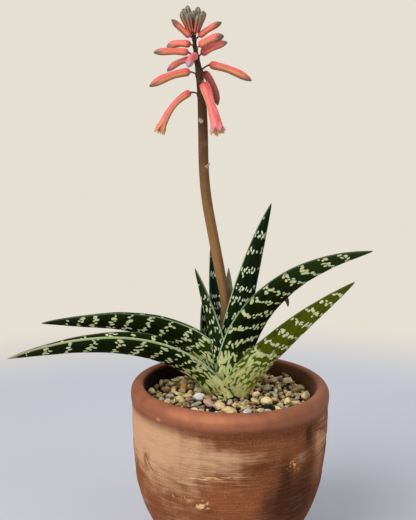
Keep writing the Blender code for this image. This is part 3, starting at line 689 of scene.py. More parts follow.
def clay_material(settings):
    shader = Shader("fired_clay")
    clay = Clay(shader)
    x, z, lip, body = clay.x, clay.z, clay.lip, clay.body
    bloom, stain, chalk = bloom_on(clay), stain_on(clay), chalk_on(clay)
    slanting = clay.bearing + (z - SCRATCH_HEIGHT) * SCRATCH_SLANT
    scratch = clay.oval(-143, SCRATCH_HEIGHT, 0.017, 0.0080, bearing=slanting).rising(0.05, 0.6) * body
    beside = clay.oval(-145.2, 0.0860, 0.020, 0.0060, bearing=slanting).rising(0.1, 0.8) * body
    dark = 0.26 - clay.left * 0.12 + clay.oval(-92, 0.088, 0.80, 0.022) * 0.40 + clay.rubbed * 0.3
    bright = 0.15 + clay.oval(-94, 0.090, 0.75, 0.014) * 0.36
    # Painted highlight on the front of the lip, with paler patches at random in it.
    lip_highlight = clay.ovals(LIP_HIGHLIGHT_OVALS) + clay.middling.rising(0.42, 0.75) * 0.12 + clay.wiped.rising(0.5, 0.8) * 0.1
    uneven = clay.middling.rising(0.60, 0.38) * 0.18 + clay.wiped.rising(0.46, 0.25) * 0.25
    # The inner wall: almost black on the left, which is painted shadow of the leaves, and the damp clay colour on
    # the right.
    inner_wall_and_shadow = shader.mix(x.rising(0.004, 0.050), tuple(c * 0.01 for c in settings.inner_wall_and_shadow), settings.inner_wall_and_shadow)
    inside = clay.radius.rising(0.0622, 0.0606) * z.rising(0.068, 0.075)

    shade = shader.mix(clay.broad.rising(0.35, 0.68), tuple(c * 0.72 for c in settings.clay), settings.clay)
    shade = shader.layered(shade, [
        (lip, settings.lip_clay),
        (bloom * 0.94, settings.bloom),
        (stain, settings.stain),
        (chalk, display(0.98, 0.77, 0.55)),
        (beside * 0.4, display(0.88, 0.70, 0.54)),
        (scratch * 0.75, display(0.30, 0.19, 0.13)),
        (clay.lines.rising(0.52, 0.36) * dark * body, display(0.33, 0.18, 0.11)),
        (clay.lines.rising(0.53, 0.66) * bright * body, display(0.88, 0.68, 0.48)),
        (lip_highlight * lip, display(0.80, 0.52, 0.37)),
        (uneven * lip, display(0.40, 0.22, 0.15)),
        # painted shade on the lower half of the lip, where it turns under
        (z.rising(0.1225, 0.1175) * lip * 0.42, display(0.43, 0.23, 0.145)),
        (x.rising(-0.045, -0.072) * lip * 0.14, display(0.40, 0.245, 0.175)),
        # painted reflection of the sky on the right of the lip
        (x.rising(0.020, 0.066) * lip * 0.34, display(0.54, 0.39, 0.32)),
        # painted shadow on the outer wall under the lip
        (clay.ovals(SHADOW_UNDER_LIP_OVALS) * clay.radius.over(0.063), display(0.36, 0.175, 0.10)),
        # the inner wall, with painted shadow on its left
        (inside * 0.97, inner_wall_and_shadow),
        (clay.grain.rising(0.42, 0.75) * (1.0 - stain) * (1.0 - lip * 0.6) * 0.09, display(0.92, 0.76, 0.60)),
        (clay.grain.rising(0.48, 0.28) * (1.0 - lip * 0.5) * 0.13, display(0.22, 0.12, 0.075)),
    ])
    relief = clay.lines * 0.6 * body + clay.grain * 0.22 + clay.middling * 0.5 + chalk * 0.6 - scratch * 1.4
    roughness = 0.84 - lip * 0.16 + bloom * 0.08 + clay.grain * 0.05
    return shader.set(Base_Color=shade, Roughness=roughness, Normal=shader.bump(relief, 0.0006, 0.55),
                      Specular_IOR_Level=0.10)


# ---- Soil, roots and pebbles -------------------------------------------------------------------

def soil_material():
    shader = Shader("potting_soil")
    place = shader.place()
    crumbs = shader.cells(place, 420.0)
    fibre = shader.noise(shader.scaled(place, (1.0, 3.0, 1.0)), 260.0, 4.0, 0.65)
    shade = shader.layered(display(0.30, 0.22, 0.16), [
        (crumbs.rising(0.1, 0.7), display(0.13, 0.09, 0.065)),
        (fibre.rising(0.60, 0.72), display(0.50, 0.38, 0.26)),
    ])
    return shader.set(Base_Color=shade, Roughness=0.95, Normal=shader.bump(crumbs + fibre, 0.0012, 0.8))


def root_material():
    shader = Shader("root")
    place = shader.place()
    rings = shader.noise(shader.scaled(place, (1.0, 1.0, 6.0)), 180.0, 3.0, 0.6)
    bark = shader.mix(rings.rising(0.35, 0.7), display(0.42, 0.30, 0.18), display(0.78, 0.64, 0.42))
    return shader.set(Base_Color=bark, Roughness=0.82, Normal=shader.bump(rings, 0.0005, 0.7))


def pebble_material():
    """Each pebble's own colour comes with its points. Veins, mottling, grains and dust lie over it."""
    shader = Shader("pebble")
    tint = shader.attribute("pebble_tint")
    # The third part, low, is painted shade on the lower part of each pebble.
    veined, seed, low = shader.parts_of(shader.attribute("pebble_nature"))
    own = shader.moved(shader.place(), shader.joined(seed, seed, seed))
    mottle = shader.noise(own, 330.0, 4.0, 0.62)
    grains = shader.noise(own, 1500.0, 3.0, 0.6)
    layers = shader.noise(shader.scaled(own, (1.0, 1.0, 4.0)), 260.0, 3.0, 0.5, 0.6)
    shade = shader.layered(tint, [
        (mottle.rising(0.60, 0.36) * 0.42, shader.mix(1.0, tint, (0.42, 0.36, 0.30), "MULTIPLY")),
        (mottle.rising(0.56, 0.74) * 0.42, display(0.93, 0.88, 0.78)),
        (layers.rising(0.50, 0.57) * veined * 0.55, display(0.55, 0.36, 0.22)),
        (grains.rising(0.62, 0.75) * 0.5, display(0.25, 0.19, 0.14)),
        # painted shade on the lower part of each pebble
        (low * 0.92, display(0.08, 0.055, 0.04)),
    ])
    relief = mottle * 0.6 + grains * 0.35
    return shader.set(Base_Color=shade, Roughness=0.58 + mottle * 0.3, Normal=shader.bump(relief, 0.0004, 0.6),
                      Specular_IOR_Level=0.4)


def icosphere(level):
    shape = bmesh.new()
    bmesh.ops.create_icosphere(shape, subdivisions=level, radius=1.0)
    points = np.array([vert.co for vert in shape.verts])
    faces = [tuple(vert.index for vert in face.verts) for face in shape.faces]
    shape.free()
    return Form(points, faces)


SMALL_BALL = icosphere(2)
PEBBLE_BALL = icosphere(3)
STONE_BALL = icosphere(4)
SMALL_PEBBLE = 0.0026           # radius up to which a pebble is made from the small ball
PEBBLE_FACETS = 12


def worn_stone(ball, rng, roundness):
    """A pebble of about unit radius: facets knocked off a lumpy ball, then worn smooth."""
    points = ball.points.copy()
    shift = Vector([rng.uniform(0, 50) for _ in range(3)])
    lumps = np.array([noise.noise(Vector(point) * 1.3 + shift) for point in points])
    fine = np.array([noise.noise(Vector(point) * 3.4 + shift) for point in points])
    points *= (1.0 + 0.30 * lumps + 0.10 * fine)[:, None]
    for _ in range(PEBBLE_FACETS):
        plane = unit([rng.gauss(0, 1) for _ in range(3)])
        level = rng.uniform(0.42, 0.80) + 0.26 * roundness
        beyond = np.maximum(points @ plane - level, 0.0)
        points -= np.outer(beyond * (1.0 - 0.30 * roundness), plane)
    stretch = np.array([rng.uniform(1.0, 1.65), rng.uniform(0.75, 1.10), rng.uniform(0.55, 0.90)])
    points *= stretch / stretch.prod() ** (1 / 3)
    return points


def turned(points, rng, tilt):
    """Turn a pebble to lie on its broad side, give or take."""
    turn = Matrix.Rotation(rng.uniform(0, math.tau), 3, "Z")
    lean = Matrix.Rotation(rng.gauss(0, tilt), 3, "X") @ Matrix.Rotation(rng.gauss(0, tilt), 3, "Y")
    return points @ np.array(turn @ lean).T


GRAVEL_EDGE = 0.1190            # height of the gravel at the pot's wall
GRAVEL_MOUND = 0.0040           # how much higher it lies round the plant
HEAPS = [(0.037, 0.023, 0.017, 0.0048), (-0.031, 0.015, 0.013, 0.0022)]  # x, y, reach and rise
GRIT_DEPTH = 0.0055             # how far the fine grit lies below the pebbles' tops

# Colour of a kind of pebble, how many are of it, its share of veined ones, and how round they are.
Kind = namedtuple("Kind", "name shade weight veined roundness")
KINDS = [
    Kind("pebbles_buff", (0.86, 0.76, 0.55), 32, 0.25, 0.0),
    Kind("pebbles_sand", (0.96, 0.87, 0.63), 22, 0.15, 0.2),
    Kind("pebbles_brown", (0.66, 0.50, 0.37), 17, 0.3, 0.0),
    Kind("pebbles_grey", (0.82, 0.76, 0.66), 12, 0.2, 0.2),
    Kind("pebbles_rose", (0.81, 0.61, 0.52), 9, 0.3, 0.4),
    Kind("pebbles_ochre", (0.92, 0.72, 0.40), 3, 0.1, 0.6),
    Kind("pebbles_pale", (0.96, 0.93, 0.85), 5, 0.1, 0.5),
]
PEBBLE_CREASE = math.radians(17.0)
HEAP_KINDS = 3                  # kinds, counted from the first, that lie in the heaps

# The stones that stand out, each in the place of its CAD solid, and its colour.
STONES = {
    "stone_white": (0.99, 0.98, 0.96),
    "stone_orange": (0.93, 0.70, 0.33),
    "stone_tan_left": (0.92, 0.83, 0.63),
    "stone_tan_right": (0.96, 0.82, 0.58),
    "stone_pink": (0.85, 0.70, 0.64),
    "stone_blue_grey": (0.87, 0.90, 0.91),
    "stone_yellow": (0.96, 0.89, 0.64),
    "stone_cream": (0.95, 0.85, 0.62),
}
STONE_GROWTH = 1.34             # how much larger the stones that stand out are than their CAD solids


def gravel_height(x, y):
    """Height of the pebbles: mounded round the plant, and heaped up in two places."""
    far = math.hypot(x, y) / BORE
    heaps = sum(rise * math.exp(-((x - at_x) ** 2 + (y - at_y) ** 2) / reach ** 2)
                for at_x, at_y, reach, rise in HEAPS)
    return GRAVEL_EDGE + GRAVEL_MOUND * (1.0 - min(far, 1.0)) + heaps


def stone_ball(name):
    """Centre and half sizes of a stone's CAD solid, measured from the pot's axis."""
    low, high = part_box(name)
    return (low + high) / 2 - AXIS, (high - low) / 2


PLACES_TRIED = 7                # random places for each pebble, of which it takes the lowest
NESTLING = 0.94                 # how near two pebbles come, as a share of their radii
HIGHEST_TOP = 0.0042            # how far a pebble may stand above the gravel's height


def lowest_place(rng, balls, radius):
    """The lowest of a few random places for a ball on top of the others, and how high its top stands out."""
    best = None
    for _ in range(PLACES_TRIED):
        reach = math.sqrt(rng.random()) * (BORE - radius - 0.0003)
        bearing = rng.uniform(0, math.tau)
        x, y = reach * math.cos(bearing), reach * math.sin(bearing)
        floor = gravel_height(x, y) - GRIT_DEPTH + radius * 0.5
        gap = (balls[:, 3] + radius) * NESTLING
        flat = gap ** 2 - (balls[:, 0] - x) ** 2 - (balls[:, 1] - y) ** 2
        rests = balls[:, 2] + np.sqrt(np.maximum(flat, 0.0))
        z = max([floor, *rests[flat > 0.0]])
        if best is None or z - gravel_height(x, y) + radius < best[0]:
            best = (z - gravel_height(x, y) + radius, x, y, z)
    return best


def drop_pebbles(settings, plant):
    """Drop balls one by one into the lowest of a few random places, clear of the plant and the pot."""
    rng = random.Random(settings.seed)
    stones = []
    for name in STONES:
        centre, half = stone_ball(name)
        stones.append((*centre, sum(half) / 3 * STONE_GROWTH * 0.92))
    stones = np.array(stones)
    balls = np.vstack([stones, np.zeros((settings.count, 4))])
    laid = len(stones)
    for _ in range(settings.count):
        radius = settings.smallest + (settings.largest - settings.smallest) * rng.random() ** 2.0
        top, x, y, z = lowest_place(rng, balls[:laid], radius)
        if top > HIGHEST_TOP or plant.find_nearest(Vector((x, y, z)), radius * 0.9)[0] is not None:
            continue
        if inside_plant(plant, Vector((x, y, z))) or hides_a_stone(stones, x, y, z, radius):
            continue
        balls[laid] = (x, y, z, radius)
        laid += 1
    return balls[len(stones):laid]


def hides_a_stone(stones, x, y, z, radius):
    """True for a pebble that would lie on one of the stones that stand out, or in front of it."""
    aside = np.abs(stones[:, 0] - x) < stones[:, 3] + radius * 0.5
    before = (stones[:, 1] > y) & (stones[:, 1] - y < stones[:, 3] + radius * 2.0) & (z + radius > stones[:, 2])
    near = np.hypot(stones[:, 0] - x, stones[:, 1] - y) < stones[:, 3] * 0.8 + radius * 0.5
    return bool(np.any((aside & before) | (near & (z > stones[:, 2]))))


def inside_plant(plant, point):
    """True if a ray straight down from the point leaves the plant before it enters it."""
    hit, normal, _, _ = plant.ray_cast(point, Vector((0.0, 0.0, -1.0)))
    return hit is not None and normal.z < 0.0


def kind_of(rng, x, y):
    """A kind at random, by weight. Only the commonest lie in the heaps."""
    heaped = any(math.hypot(x - at_x, y - at_y) < reach for at_x, at_y, reach, _ in HEAPS)
    kinds = KINDS[:HEAP_KINDS] if heaped else KINDS
    return rng.choices(kinds, [kind.weight for kind in kinds])[0]


def tinted(shade, rng, spread=0.07):
    """A colour a little lighter or darker, and warmer or cooler, than the one given."""
    light = min(1.0 + rng.gauss(0, spread), 0.97 / max(shade))
    warm = rng.gauss(0, spread * 0.22)
    return display(*(min(max(c * light * (1.0 + k * warm), 0.02), 0.97) for c, k in zip(shade, (1.0, 0.2, -0.8))))


class Heap:
    """Pebbles gathered into one piece, with what their material needs to know of each point."""

    def __init__(self):
        self.forms, self.tints, self.marks_and_shade = [], [], []

    def lay(self, points, faces, tint, veined, seed):
        low, high = points[:, 2].min(), points[:, 2].max()
        # Painted shade: the lower part of each pebble is darkened.
        painted_shade_below = np.clip(1.0 - (points[:, 2] - low) / (high - low) * 1.9, 0.0, 1.0)
        self.forms.append(Form(points, faces))
        self.tints.append(np.tile(tint, (len(points), 1)))
        self.marks_and_shade.append(columns(veined, seed, painted_shade_below))

    def piece(self, name, material, slot, replaced=()):
        values = {"pebble_tint": np.concatenate(self.tints), "pebble_nature": np.concatenate(self.marks_and_shade)}
        return add_piece(name, joined_forms(self.forms), [material], slot, replaced, point_values=values,
                         crease=PEBBLE_CREASE)


GRIT_RINGS, GRIT_SIDES = 34, 120


def grit_form(rng):
    """A lumpy disc of fine grit that closes the gaps between the pebbles."""
    shift = Vector((rng.uniform(0, 9), rng.uniform(0, 9), 0))
    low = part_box("soil")[1].z + STALK_CLEARANCE
    width = BORE - 0.0002
    turns = [math.tau * k / GRIT_SIDES for k in range(GRIT_SIDES)]
    rings = [[(width * math.cos(turn), width * math.sin(turn), low) for turn in turns]]
    for i in range(GRIT_RINGS):
        reach = width * (1.0 - i / GRIT_RINGS)
        ring = []
        for turn in turns:
            x, y = reach * math.cos(turn), reach * math.sin(turn)
            fine = noise.noise(Vector((x, y, 3)) * 1100 + shift)
            lump = noise.noise(Vector((x, y, 0)) * 520 + shift) + 0.6 * fine
            ring.append((x, y, gravel_height(x, y) - GRIT_DEPTH + 0.0007 * lump))
        rings.append(ring)
    return closed_loft(np.array(rings), (0.0, 0.0, low), (0.0, 0.0, gravel_height(0, 0) - GRIT_DEPTH))


def grit_shadow_material():
    shader = Shader("fine_grit")
    place = shader.place()
    crumbs = shader.cells(place, 700.0)
    pick, _, _ = shader.parts_of(shader.cells(place, 700.0, "Color"))
    # The grit is almost black: painted shadow in the gaps between the pebbles.
    shade = shader.layered(display(0.05, 0.04, 0.03), [
        (pick, display(0.17, 0.13, 0.09)),
        (crumbs.rising(0.25, 0.7), display(0.07, 0.05, 0.04)),
    ])
    return shader.set(Base_Color=shade, Roughness=0.9, Normal=shader.bump(1.0 - crumbs, 0.0010, 0.9))


def plant_tree():
    """The CAD solids of the leaves and the stem as one tree to measure from, round the pot's axis."""
    points, faces = [], []
    for name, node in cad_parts.items():
        if name.startswith("leaf_") or name == "root_stock":
            start = len(points)
            points += [vert.co - AXIS for vert in node.data.vertices]
            faces += [tuple(index + start for index in face.vertices) for face in node.data.polygons]
    return BVHTree.FromPolygons(points, faces)


def make_pebbles(settings):
    rng = random.Random(settings.seed + 1)
    material = pebble_material()
    heaps = {kind.name: Heap() for kind in KINDS}
    for x, y, z, radius in drop_pebbles(settings, plant_tree()):
        kind = kind_of(rng, x, y)
        ball = PEBBLE_BALL if radius > SMALL_PEBBLE else SMALL_BALL
        points = turned(worn_stone(ball, rng, kind.roundness), rng, 0.35)
        veined = 1.0 if rng.random() < kind.veined else 0.0
        heaps[kind.name].lay(points * radius + (x, y, z), ball.faces, tinted(kind.shade, rng), veined,
                             rng.uniform(0, 20))
    for name, heap in heaps.items():
        heap.piece(name, material, "gravel")
    for name, shade in STONES.items():
        centre, half = stone_ball(name)
        points = turned(worn_stone(STONE_BALL, rng, 0.8), rng, 0.15)
        reach = np.abs(points).max(axis=0)
        heap = Heap()
        heap.lay(points / reach * np.array(half) * STONE_GROWTH + np.array(centre), STONE_BALL.faces,
                 tinted(shade, rng, 0.01), 0.0, rng.uniform(0, 20))
        heap.piece("pebble_" + name.removeprefix("stone_"), material, name, [name])


# ---- Leaves ------------------------------------------------------------------------------------

UP = np.array([0.0, 0.0, 1.0])


def heading(rise, turn):
    """The direction that rises and turns by these angles in radians."""
    return np.array([math.cos(rise) * math.cos(turn), math.cos(rise) * math.sin(turn), math.sin(rise)])


def bent(start, end, curl, share):
    """An angle in radians that runs from start to end, quickest near the base."""
    return math.radians(end + (start - end) * (1.0 - share) ** curl)


def leaf_axes(leaf, share):
    """Directions along, across and up out of the channel of a leaf, part of the way along it."""
    rise = bent(leaf.rise, leaf.tip_rise, leaf.curl, min(share, 1.0))
    turn = math.radians(leaf.bearing + leaf.sway * share)
    roll = math.radians(leaf.roll + (leaf.tip_roll - leaf.roll) * share)
    along = heading(rise, turn)
    level = np.array([-math.sin(turn), math.cos(turn), 0.0])
    upright = np.cross(along, level)
    across = level * math.cos(roll) + upright * math.sin(roll)
    return along, across, upright * math.cos(roll) - level * math.sin(roll)


def leaf_start(leaf):
    """The middle of a leaf's foot: out from the pot's axis, sideways of its bearing, and up."""
    outward = heading(0.0, math.radians(leaf.bearing))
    return outward * leaf.radius + np.cross(UP, outward) * leaf.lateral + UP * leaf.height


FACE_POINTS = 17                # points across the upper side of a leaf, and across the lower
EDGE_TURNS = (50.0, 0.0, -50.0) # where the points round a margin lie
UNDERSIDE = 0.5                 # added to the place across, so that both sides are marked differently
CHANNEL_POWER = 1.4
KEEL_POWER = 1.5
TOOTH_SPACING = 0.00155


def channel(leaf, spread, half):
    """Middle surface of a leaf's section and its upward normal, where spread runs from -1 to 1."""
    fold = math.radians(leaf.fold)
    lift = half * math.sin(fold) * np.abs(spread) ** CHANNEL_POWER
    slope = CHANNEL_POWER * math.sin(fold) * np.abs(spread) ** (CHANNEL_POWER - 1.0) * np.sign(spread)
    normal = columns(-slope, math.cos(fold))
    normal /= np.linalg.norm(normal, axis=1)[:, None]
    return columns(spread * half * math.cos(fold), lift), normal


def leaf_section(leaf, half, edge, tooth):
    """Points (across, up) round a leaf: its channel, one margin, its keeled side and the other margin."""
    spread = np.sin(np.radians(np.linspace(90.0, -90.0, FACE_POINTS)))
    middle, normal = channel(leaf, spread, half)
    depth = 2.0 * half * leaf.keel * (1.0 - np.abs(spread) ** KEEL_POWER)
    upper = middle + normal * edge
    lower = (middle - normal * edge - columns(0.0, depth))[::-1]
    margins = []
    for end, side, turns in ((-1, -1.0, EDGE_TURNS), (0, 1.0, EDGE_TURNS[::-1])):
        outward = np.array([normal[end][1], -normal[end][0]]) * side * (1.0 + tooth / edge)
        margins.append([middle[end] + edge * (math.cos(turn) * outward + math.sin(turn) * normal[end])
                        for turn in map(math.radians, turns)])
    return np.vstack([upper, margins[0], lower, margins[1]]), spread


RINGED_LENGTH = 0.16            # length of a leaf that has as many rings as the settings say
FEWEST_RINGS = 90
# How a leaf strays along its length: how quickly, in which row of the noise, and how far.
STRAYING = [
    (7.0, 0.0, 0.0004),         # its middle, from its arc
    (11.0, 5.0, 0.010),         # its width, as a share
    (5.0, 9.0, 0.0012),         # its strips of spots, across it
]


def band_scale(bands):
    """Shares of a leaf's length and the band numbers at them, going on past the first and last band."""
    before = 0.5 - bands[0] / (bands[1] - bands[0])
    after = len(bands) - 0.5 + (1.0 - bands[-1]) / (bands[-1] - bands[-2])
    return [0.0, *bands, 1.0], [before, *(i + 0.5 for i in range(len(bands))), after]


def leaf_rings(leaf, marking, settings):
    """The rings of a leaf, its tip, and two vectors that its material reads at each of their points.

    The first holds the place across, the band and the share of the length. The second holds the distance
    from the margin, the gap between bands, and the side, which runs from -1 to 1.
    """
    count = max(int(settings.rings * leaf.length / RINGED_LENGTH), FEWEST_RINGS)
    centre = leaf_start(leaf)
    seed = Vector((leaf.bearing * 0.37, leaf.length * 90.0, 0.0))
    shares, numbers = band_scale(marking.bands)
    rings, places, measures = [], [], []
    for i in range(count):
        share = i / count
        wobble, uneven, drift = (
            noise.noise(seed + Vector((share * pace, row, 0.0))) * amount for pace, row, amount in STRAYING)
        _, across, up = leaf_axes(leaf, share)
        half = leaf.width / 2 * (1.0 - share) ** marking.blunt * (1.0 + LEAF_SWELL * share)
        edge = min(marking.margin, half * 0.35)
        tooth = max(math.cos(math.tau * share * leaf.length / TOOTH_SPACING), 0.0) ** 2 * min(half / 0.006, 1.0)
        section, spread = leaf_section(leaf, (half - edge) * (1.0 + uneven), edge, settings.tooth * tooth)
        rings.append(centre + up * wobble + section[:, :1] * across + section[:, 1:] * up)
        spreads = np.concatenate([spread, np.full(len(EDGE_TURNS), -1.0), spread[::-1], np.ones(len(EDGE_TURNS))])
        band = np.interp(share, shares, numbers)
        gap = np.interp(band + 0.5, numbers, shares) - np.interp(band - 0.5, numbers, shares)
        places.append(columns(spreads * half + drift, band, share))
        measures.append(columns((1.0 - np.abs(spreads)) * half, gap * leaf.length, spreads))
        along, _, _ = leaf_axes(leaf, share + 0.5 / count)
        centre = centre + along * (leaf.length / count)
    return np.array(rings), np.array(places), np.array(measures), centre


def strip_offsets():
    """What each lengthwise strip of a leaf adds to the place across: the underside is far away."""
    return np.concatenate([np.zeros(FACE_POINTS - 1), np.zeros(len(EDGE_TURNS) + 1),
                           np.full(FACE_POINTS - 1, UNDERSIDE), np.zeros(len(EDGE_TURNS) + 1)])


def at_corners(values):
    """Ring values in the order of the corners of closed_loft's faces."""
    following = (np.arange(values.shape[1]) + 1) % values.shape[1]
    near, far = values[:-1], values[1:]
    walls = np.stack([near, near[:, following], far[:, following], far], 2)
    base = np.stack([values[0], values[0][following], values[0]], 1)
    tip = np.stack([values[-1], values[-1], values[-1][following]], 1)
    return walls, base, tip


def leaf_corner_values(places, measures):
    """The two vectors that a leaf's material reads at each face corner."""
    walls, base, tip = at_corners(places)
    walls[..., 0] += strip_offsets()[None, :, None]
    place = np.concatenate([part.reshape(-1, 3) for part in (walls, base, tip)])
    measure = np.concatenate([part.reshape(-1, 3) for part in at_corners(measures)])
    return place, measure


def leaf_spots(shader, strips, bands, gap, chance_of, seed, slim, forward, low):
    """Oblong spots, one to a strip and band where chance allows. Gap is the distance between bands in metres.

    Forward is how far they lie towards the tip from their band, and low is 1 where they grow long and wide.
    """
    column, row = strips.floor(), bands.floor()
    beside = strips - column - 0.5
    along = (bands - row - 0.5) * gap
    first, second, third = shader.chance(shader.joined(column, row, seed))
    fourth, fifth, sixth = shader.chance(shader.joined(column, row, seed + 31.7))
    half_length = (0.00072 + second * 0.00105) * (1.0 + low * 1.2)
    off = along - (first - 0.5) * 0.0020 - forward
    half_width = (0.18 + fourth * 0.12) * slim * (1.0 - low * 0.05)
    aside = (fifth - 0.5) * 0.26 + off * (sixth - 0.5) * 150.0
    far = (abs((beside - aside) / half_width) ** 2.4 + abs(off / half_length) ** 2.4) ** 0.417
    return far.rising(1.10, 0.84) * (chance_of - third).over(0.0)


# Layers of spots: how far each is moved across the strips and along the bands, the chance of a spot in it,
# where none stands for the leaf's own, and how far forward of the band its spots lie.
SPOT_LAYERS = [
    (0.00, 0.0, None, 0.0006), (0.50, 0.0, None, -0.0006), (0.25, 0.5, 0.0, 0.0), (0.75, 0.5, 0.0, 0.0),
    (0.40, 0.3, 0.07, 0.0), (0.25, 0.0, 0.42, 0.0016), (0.75, 0.0, 0.38, -0.0017),
]
# Where the horny edge starts to fade along a leaf and where it stops, as shares, and how much it fades.
HORN_FADES = {
    "leaf_front_right": (0.08, 0.30, 0.80),
    "leaf_front_left": (0.60, 0.97, 0.40),
    "leaf_small_front": (0.45, 0.80, 0.60),
    "leaf_tall_right": (0.45, 0.80, 0.60),
}
COMMON_FADE = (0.22, 0.50, 0.72)


def all_spots(shader, strips, bands, gap, seed, marking, low, end):
    """Every layer of a leaf's spots, laid over each other. End is 1 at its tip, where none grow."""
    spots = 0.0
    for number, (shift, row_shift, chance, forward) in enumerate(SPOT_LAYERS):
        chance = marking.many if chance is None else chance
        likely = chance - end + (low * (0.15 - chance) if row_shift else low * -0.42)
        layer = leaf_spots(shader, strips + shift, bands + row_shift, gap, likely, seed + number * 17.3,
                           marking.slim, forward, low)
        spots = layer.math("MAXIMUM", spots)
    return spots


def leaf_material(leaf, marking, settings):
    shader = Shader(f"skin_of_{leaf.name}")
    across, band, share = shader.parts_of(shader.attribute("leaf_place"))
    edge, gap, side = shader.parts_of(shader.attribute("leaf_measure"))
    seed = leaf.bearing * 0.11 + leaf.length
    run = share * leaf.length

    def pattern(wide, long, shift, detail, roughness=0.5):
        """Noise that lies on the skin, with its scales across and along the leaf."""
        return shader.noise(shader.joined(across * wide, run * long, seed + shift), 1.0, detail, roughness)

    streaky = pattern(900.0, 90.0, 0.0, 3.0, 0.6)
    blotchy = pattern(210.0, 105.0, 9.0, 1.0)
    dashes = pattern(470.0, 140.0, 13.0, 1.0)
    wander = pattern(110.0, 150.0, 4.0, 2.0)
    waver = pattern(150.0, 60.0, 21.0, 2.0)
    cloudy = shader.noise(shader.place(), 60.0, 3.0, 0.5)
    grain = shader.noise(shader.place(), 1400.0, 2.0, 0.5)

    front = (side if 90 < leaf.bearing < 270 else -side).clamped()
    half = (1.0 - share) ** marking.blunt * (1.0 + share * LEAF_SWELL) * (leaf.width / 2)
    strips = across / settings.spot_pitch + (wander - 0.5) * 0.7
    bands = band + (waver - 0.5) * 0.42 - (1.0 - front) ** 1.4 * half / gap * marking.lean
    low = share.rising(marking.pale + 0.08, marking.pale * 0.45)
    spots = all_spots(shader, strips, bands, gap, seed, marking, low, share.rising(0.88, 0.95))
    spots = spots * edge.rising(0.0, 0.0007)

    green = shader.layered(settings.deep, [(marking.sun, settings.fresh), (marking.blue * 0.8, settings.blue)])
    low_green = shader.mix(marking.sun, display(0.22, 0.35, 0.06), display(0.40, 0.54, 0.05))
    lighter = shader.mix(0.26, green, settings.fresh)
    skin = shader.layered(green, [
        (streaky.rising(0.40, 0.75) * 0.24 + cloudy.rising(0.45, 0.7) * 0.12, lighter),
        (streaky.rising(0.52, 0.30) * 0.45, tuple(c * 0.35 for c in settings.deep)),
        (edge.rising(0.0042, 0.0006) * 0.30, display(0.14, 0.25, 0.11)),
        (low * (0.35 + streaky * 0.6), low_green),
    ])
    if leaf.name == "leaf_big_right":
        skin = shader.mix(share.rising(0.42, 0.78) * 0.55, skin, display(0.20, 0.265, 0.105))

    # The base is pale, with long green patches that give way to it.
    foot = blotchy.rising(0.40, 0.60) * 0.82 + dashes.rising(0.38, 0.62) * 0.36 - share / marking.pale * 0.52
    pale_base = shader.layered(tuple(c * 0.74 for c in settings.base), [
        (streaky.rising(0.35, 0.7), tuple(min(c * 1.28, 0.9) for c in settings.base)),
        (blotchy.rising(0.58, 0.70) * 0.65, display(0.96, 0.97, 0.74)),
        ((share / marking.pale).rising(0.60, 0.0) * 0.40, display(0.72, 0.67, 0.30)),
    ])
    pale_spot = shader.layered(tuple(c * 0.80 for c in settings.spot), [
        (streaky.rising(0.35, 0.70), display(0.93, 0.94, 0.76)),
        (marking.blue * 0.6, display(0.90, 0.97, 0.90)),
        (low * 0.6, display(0.90, 0.925, 0.59)),
    ])
    keel = (1.0 - abs(side)).rising(0.50, 0.92) * share.rising(marking.pale * 1.7, marking.pale * 0.6)

    horn = edge.rising(marking.margin * 1.15, marking.margin * 0.45) * share.rising(0.02, 0.20)
    horn_shade = settings.margin
    if leaf.name == "leaf_front_left":
        horn = horn * (0.15 + side.rising(-0.2, 0.2) * 0.85)
        horn_shade = shader.layered(horn_shade, [(share.rising(0.15, 0.45), display(0.73, 0.78, 0.55)),
                                                 (share.rising(0.55, 0.80), display(0.86, 0.84, 0.68))])
    fade_start, fade_end, faded = HORN_FADES.get(leaf.name, COMMON_FADE)
    skin = shader.layered(skin, [
        (foot.rising(0.44, 0.62) * 0.90, pale_base),
        (spots * 0.96, pale_spot),
        (keel * dashes.rising(0.42, 0.62) * 0.80, display(0.56, 0.43, 0.17)),
        (horn * (0.90 - share.rising(fade_start, fade_end) * faded), horn_shade),
    ])
    if leaf.name == "leaf_narrow_back":
        skin = shader.mix(share.rising(0.30, 0.62) * (0.45 + streaky * 0.6), skin, display(0.68, 0.67, 0.57))

    withered = share + (cloudy - 0.5) * 0.05 + (streaky - 0.5) * 0.02
    withered = withered.rising(1.0 - marking.dry * 1.5, 1.0 - marking.dry * 0.7)
    dry = display(0.80, 0.72, 0.55) if leaf.name == "leaf_front_left" else settings.dry
    sheath = (share - (streaky - 0.5) * 0.05).rising(0.085, 0.030) * cloudy.rising(0.44, 0.56)
    skin = shader.layered(skin, [
        (withered, shader.mix(streaky.rising(0.4, 0.65), dry, tuple(c * 0.35 for c in dry))),
        (sheath * 0.80, display(0.50, 0.31, 0.14)),
    ])

    relief = spots * 0.5 + streaky * 0.35 + grain * 0.12
    roughness = 0.42 + streaky * 0.14 + withered * 0.3
    return shader.set(Base_Color=skin, Roughness=roughness, Normal=shader.bump(relief, 0.00035, 0.5),
                      Specular_IOR_Level=0.02)


def make_leaf(leaf, settings):
    marking = MARKINGS[leaf.name]
    rings, places, measures, tip = leaf_rings(leaf, marking, settings)
    place, measure = leaf_corner_values(places, measures)
    return add_piece("aloe_" + leaf.name, closed_loft(rings, rings[0].mean(axis=0), tip),
                     [leaf_material(leaf, marking, settings)], "leaf", [leaf.name],
                     corner_values={"leaf_place": place, "leaf_measure": measure})


# ---- Flower stalk ------------------------------------------------------------------------------

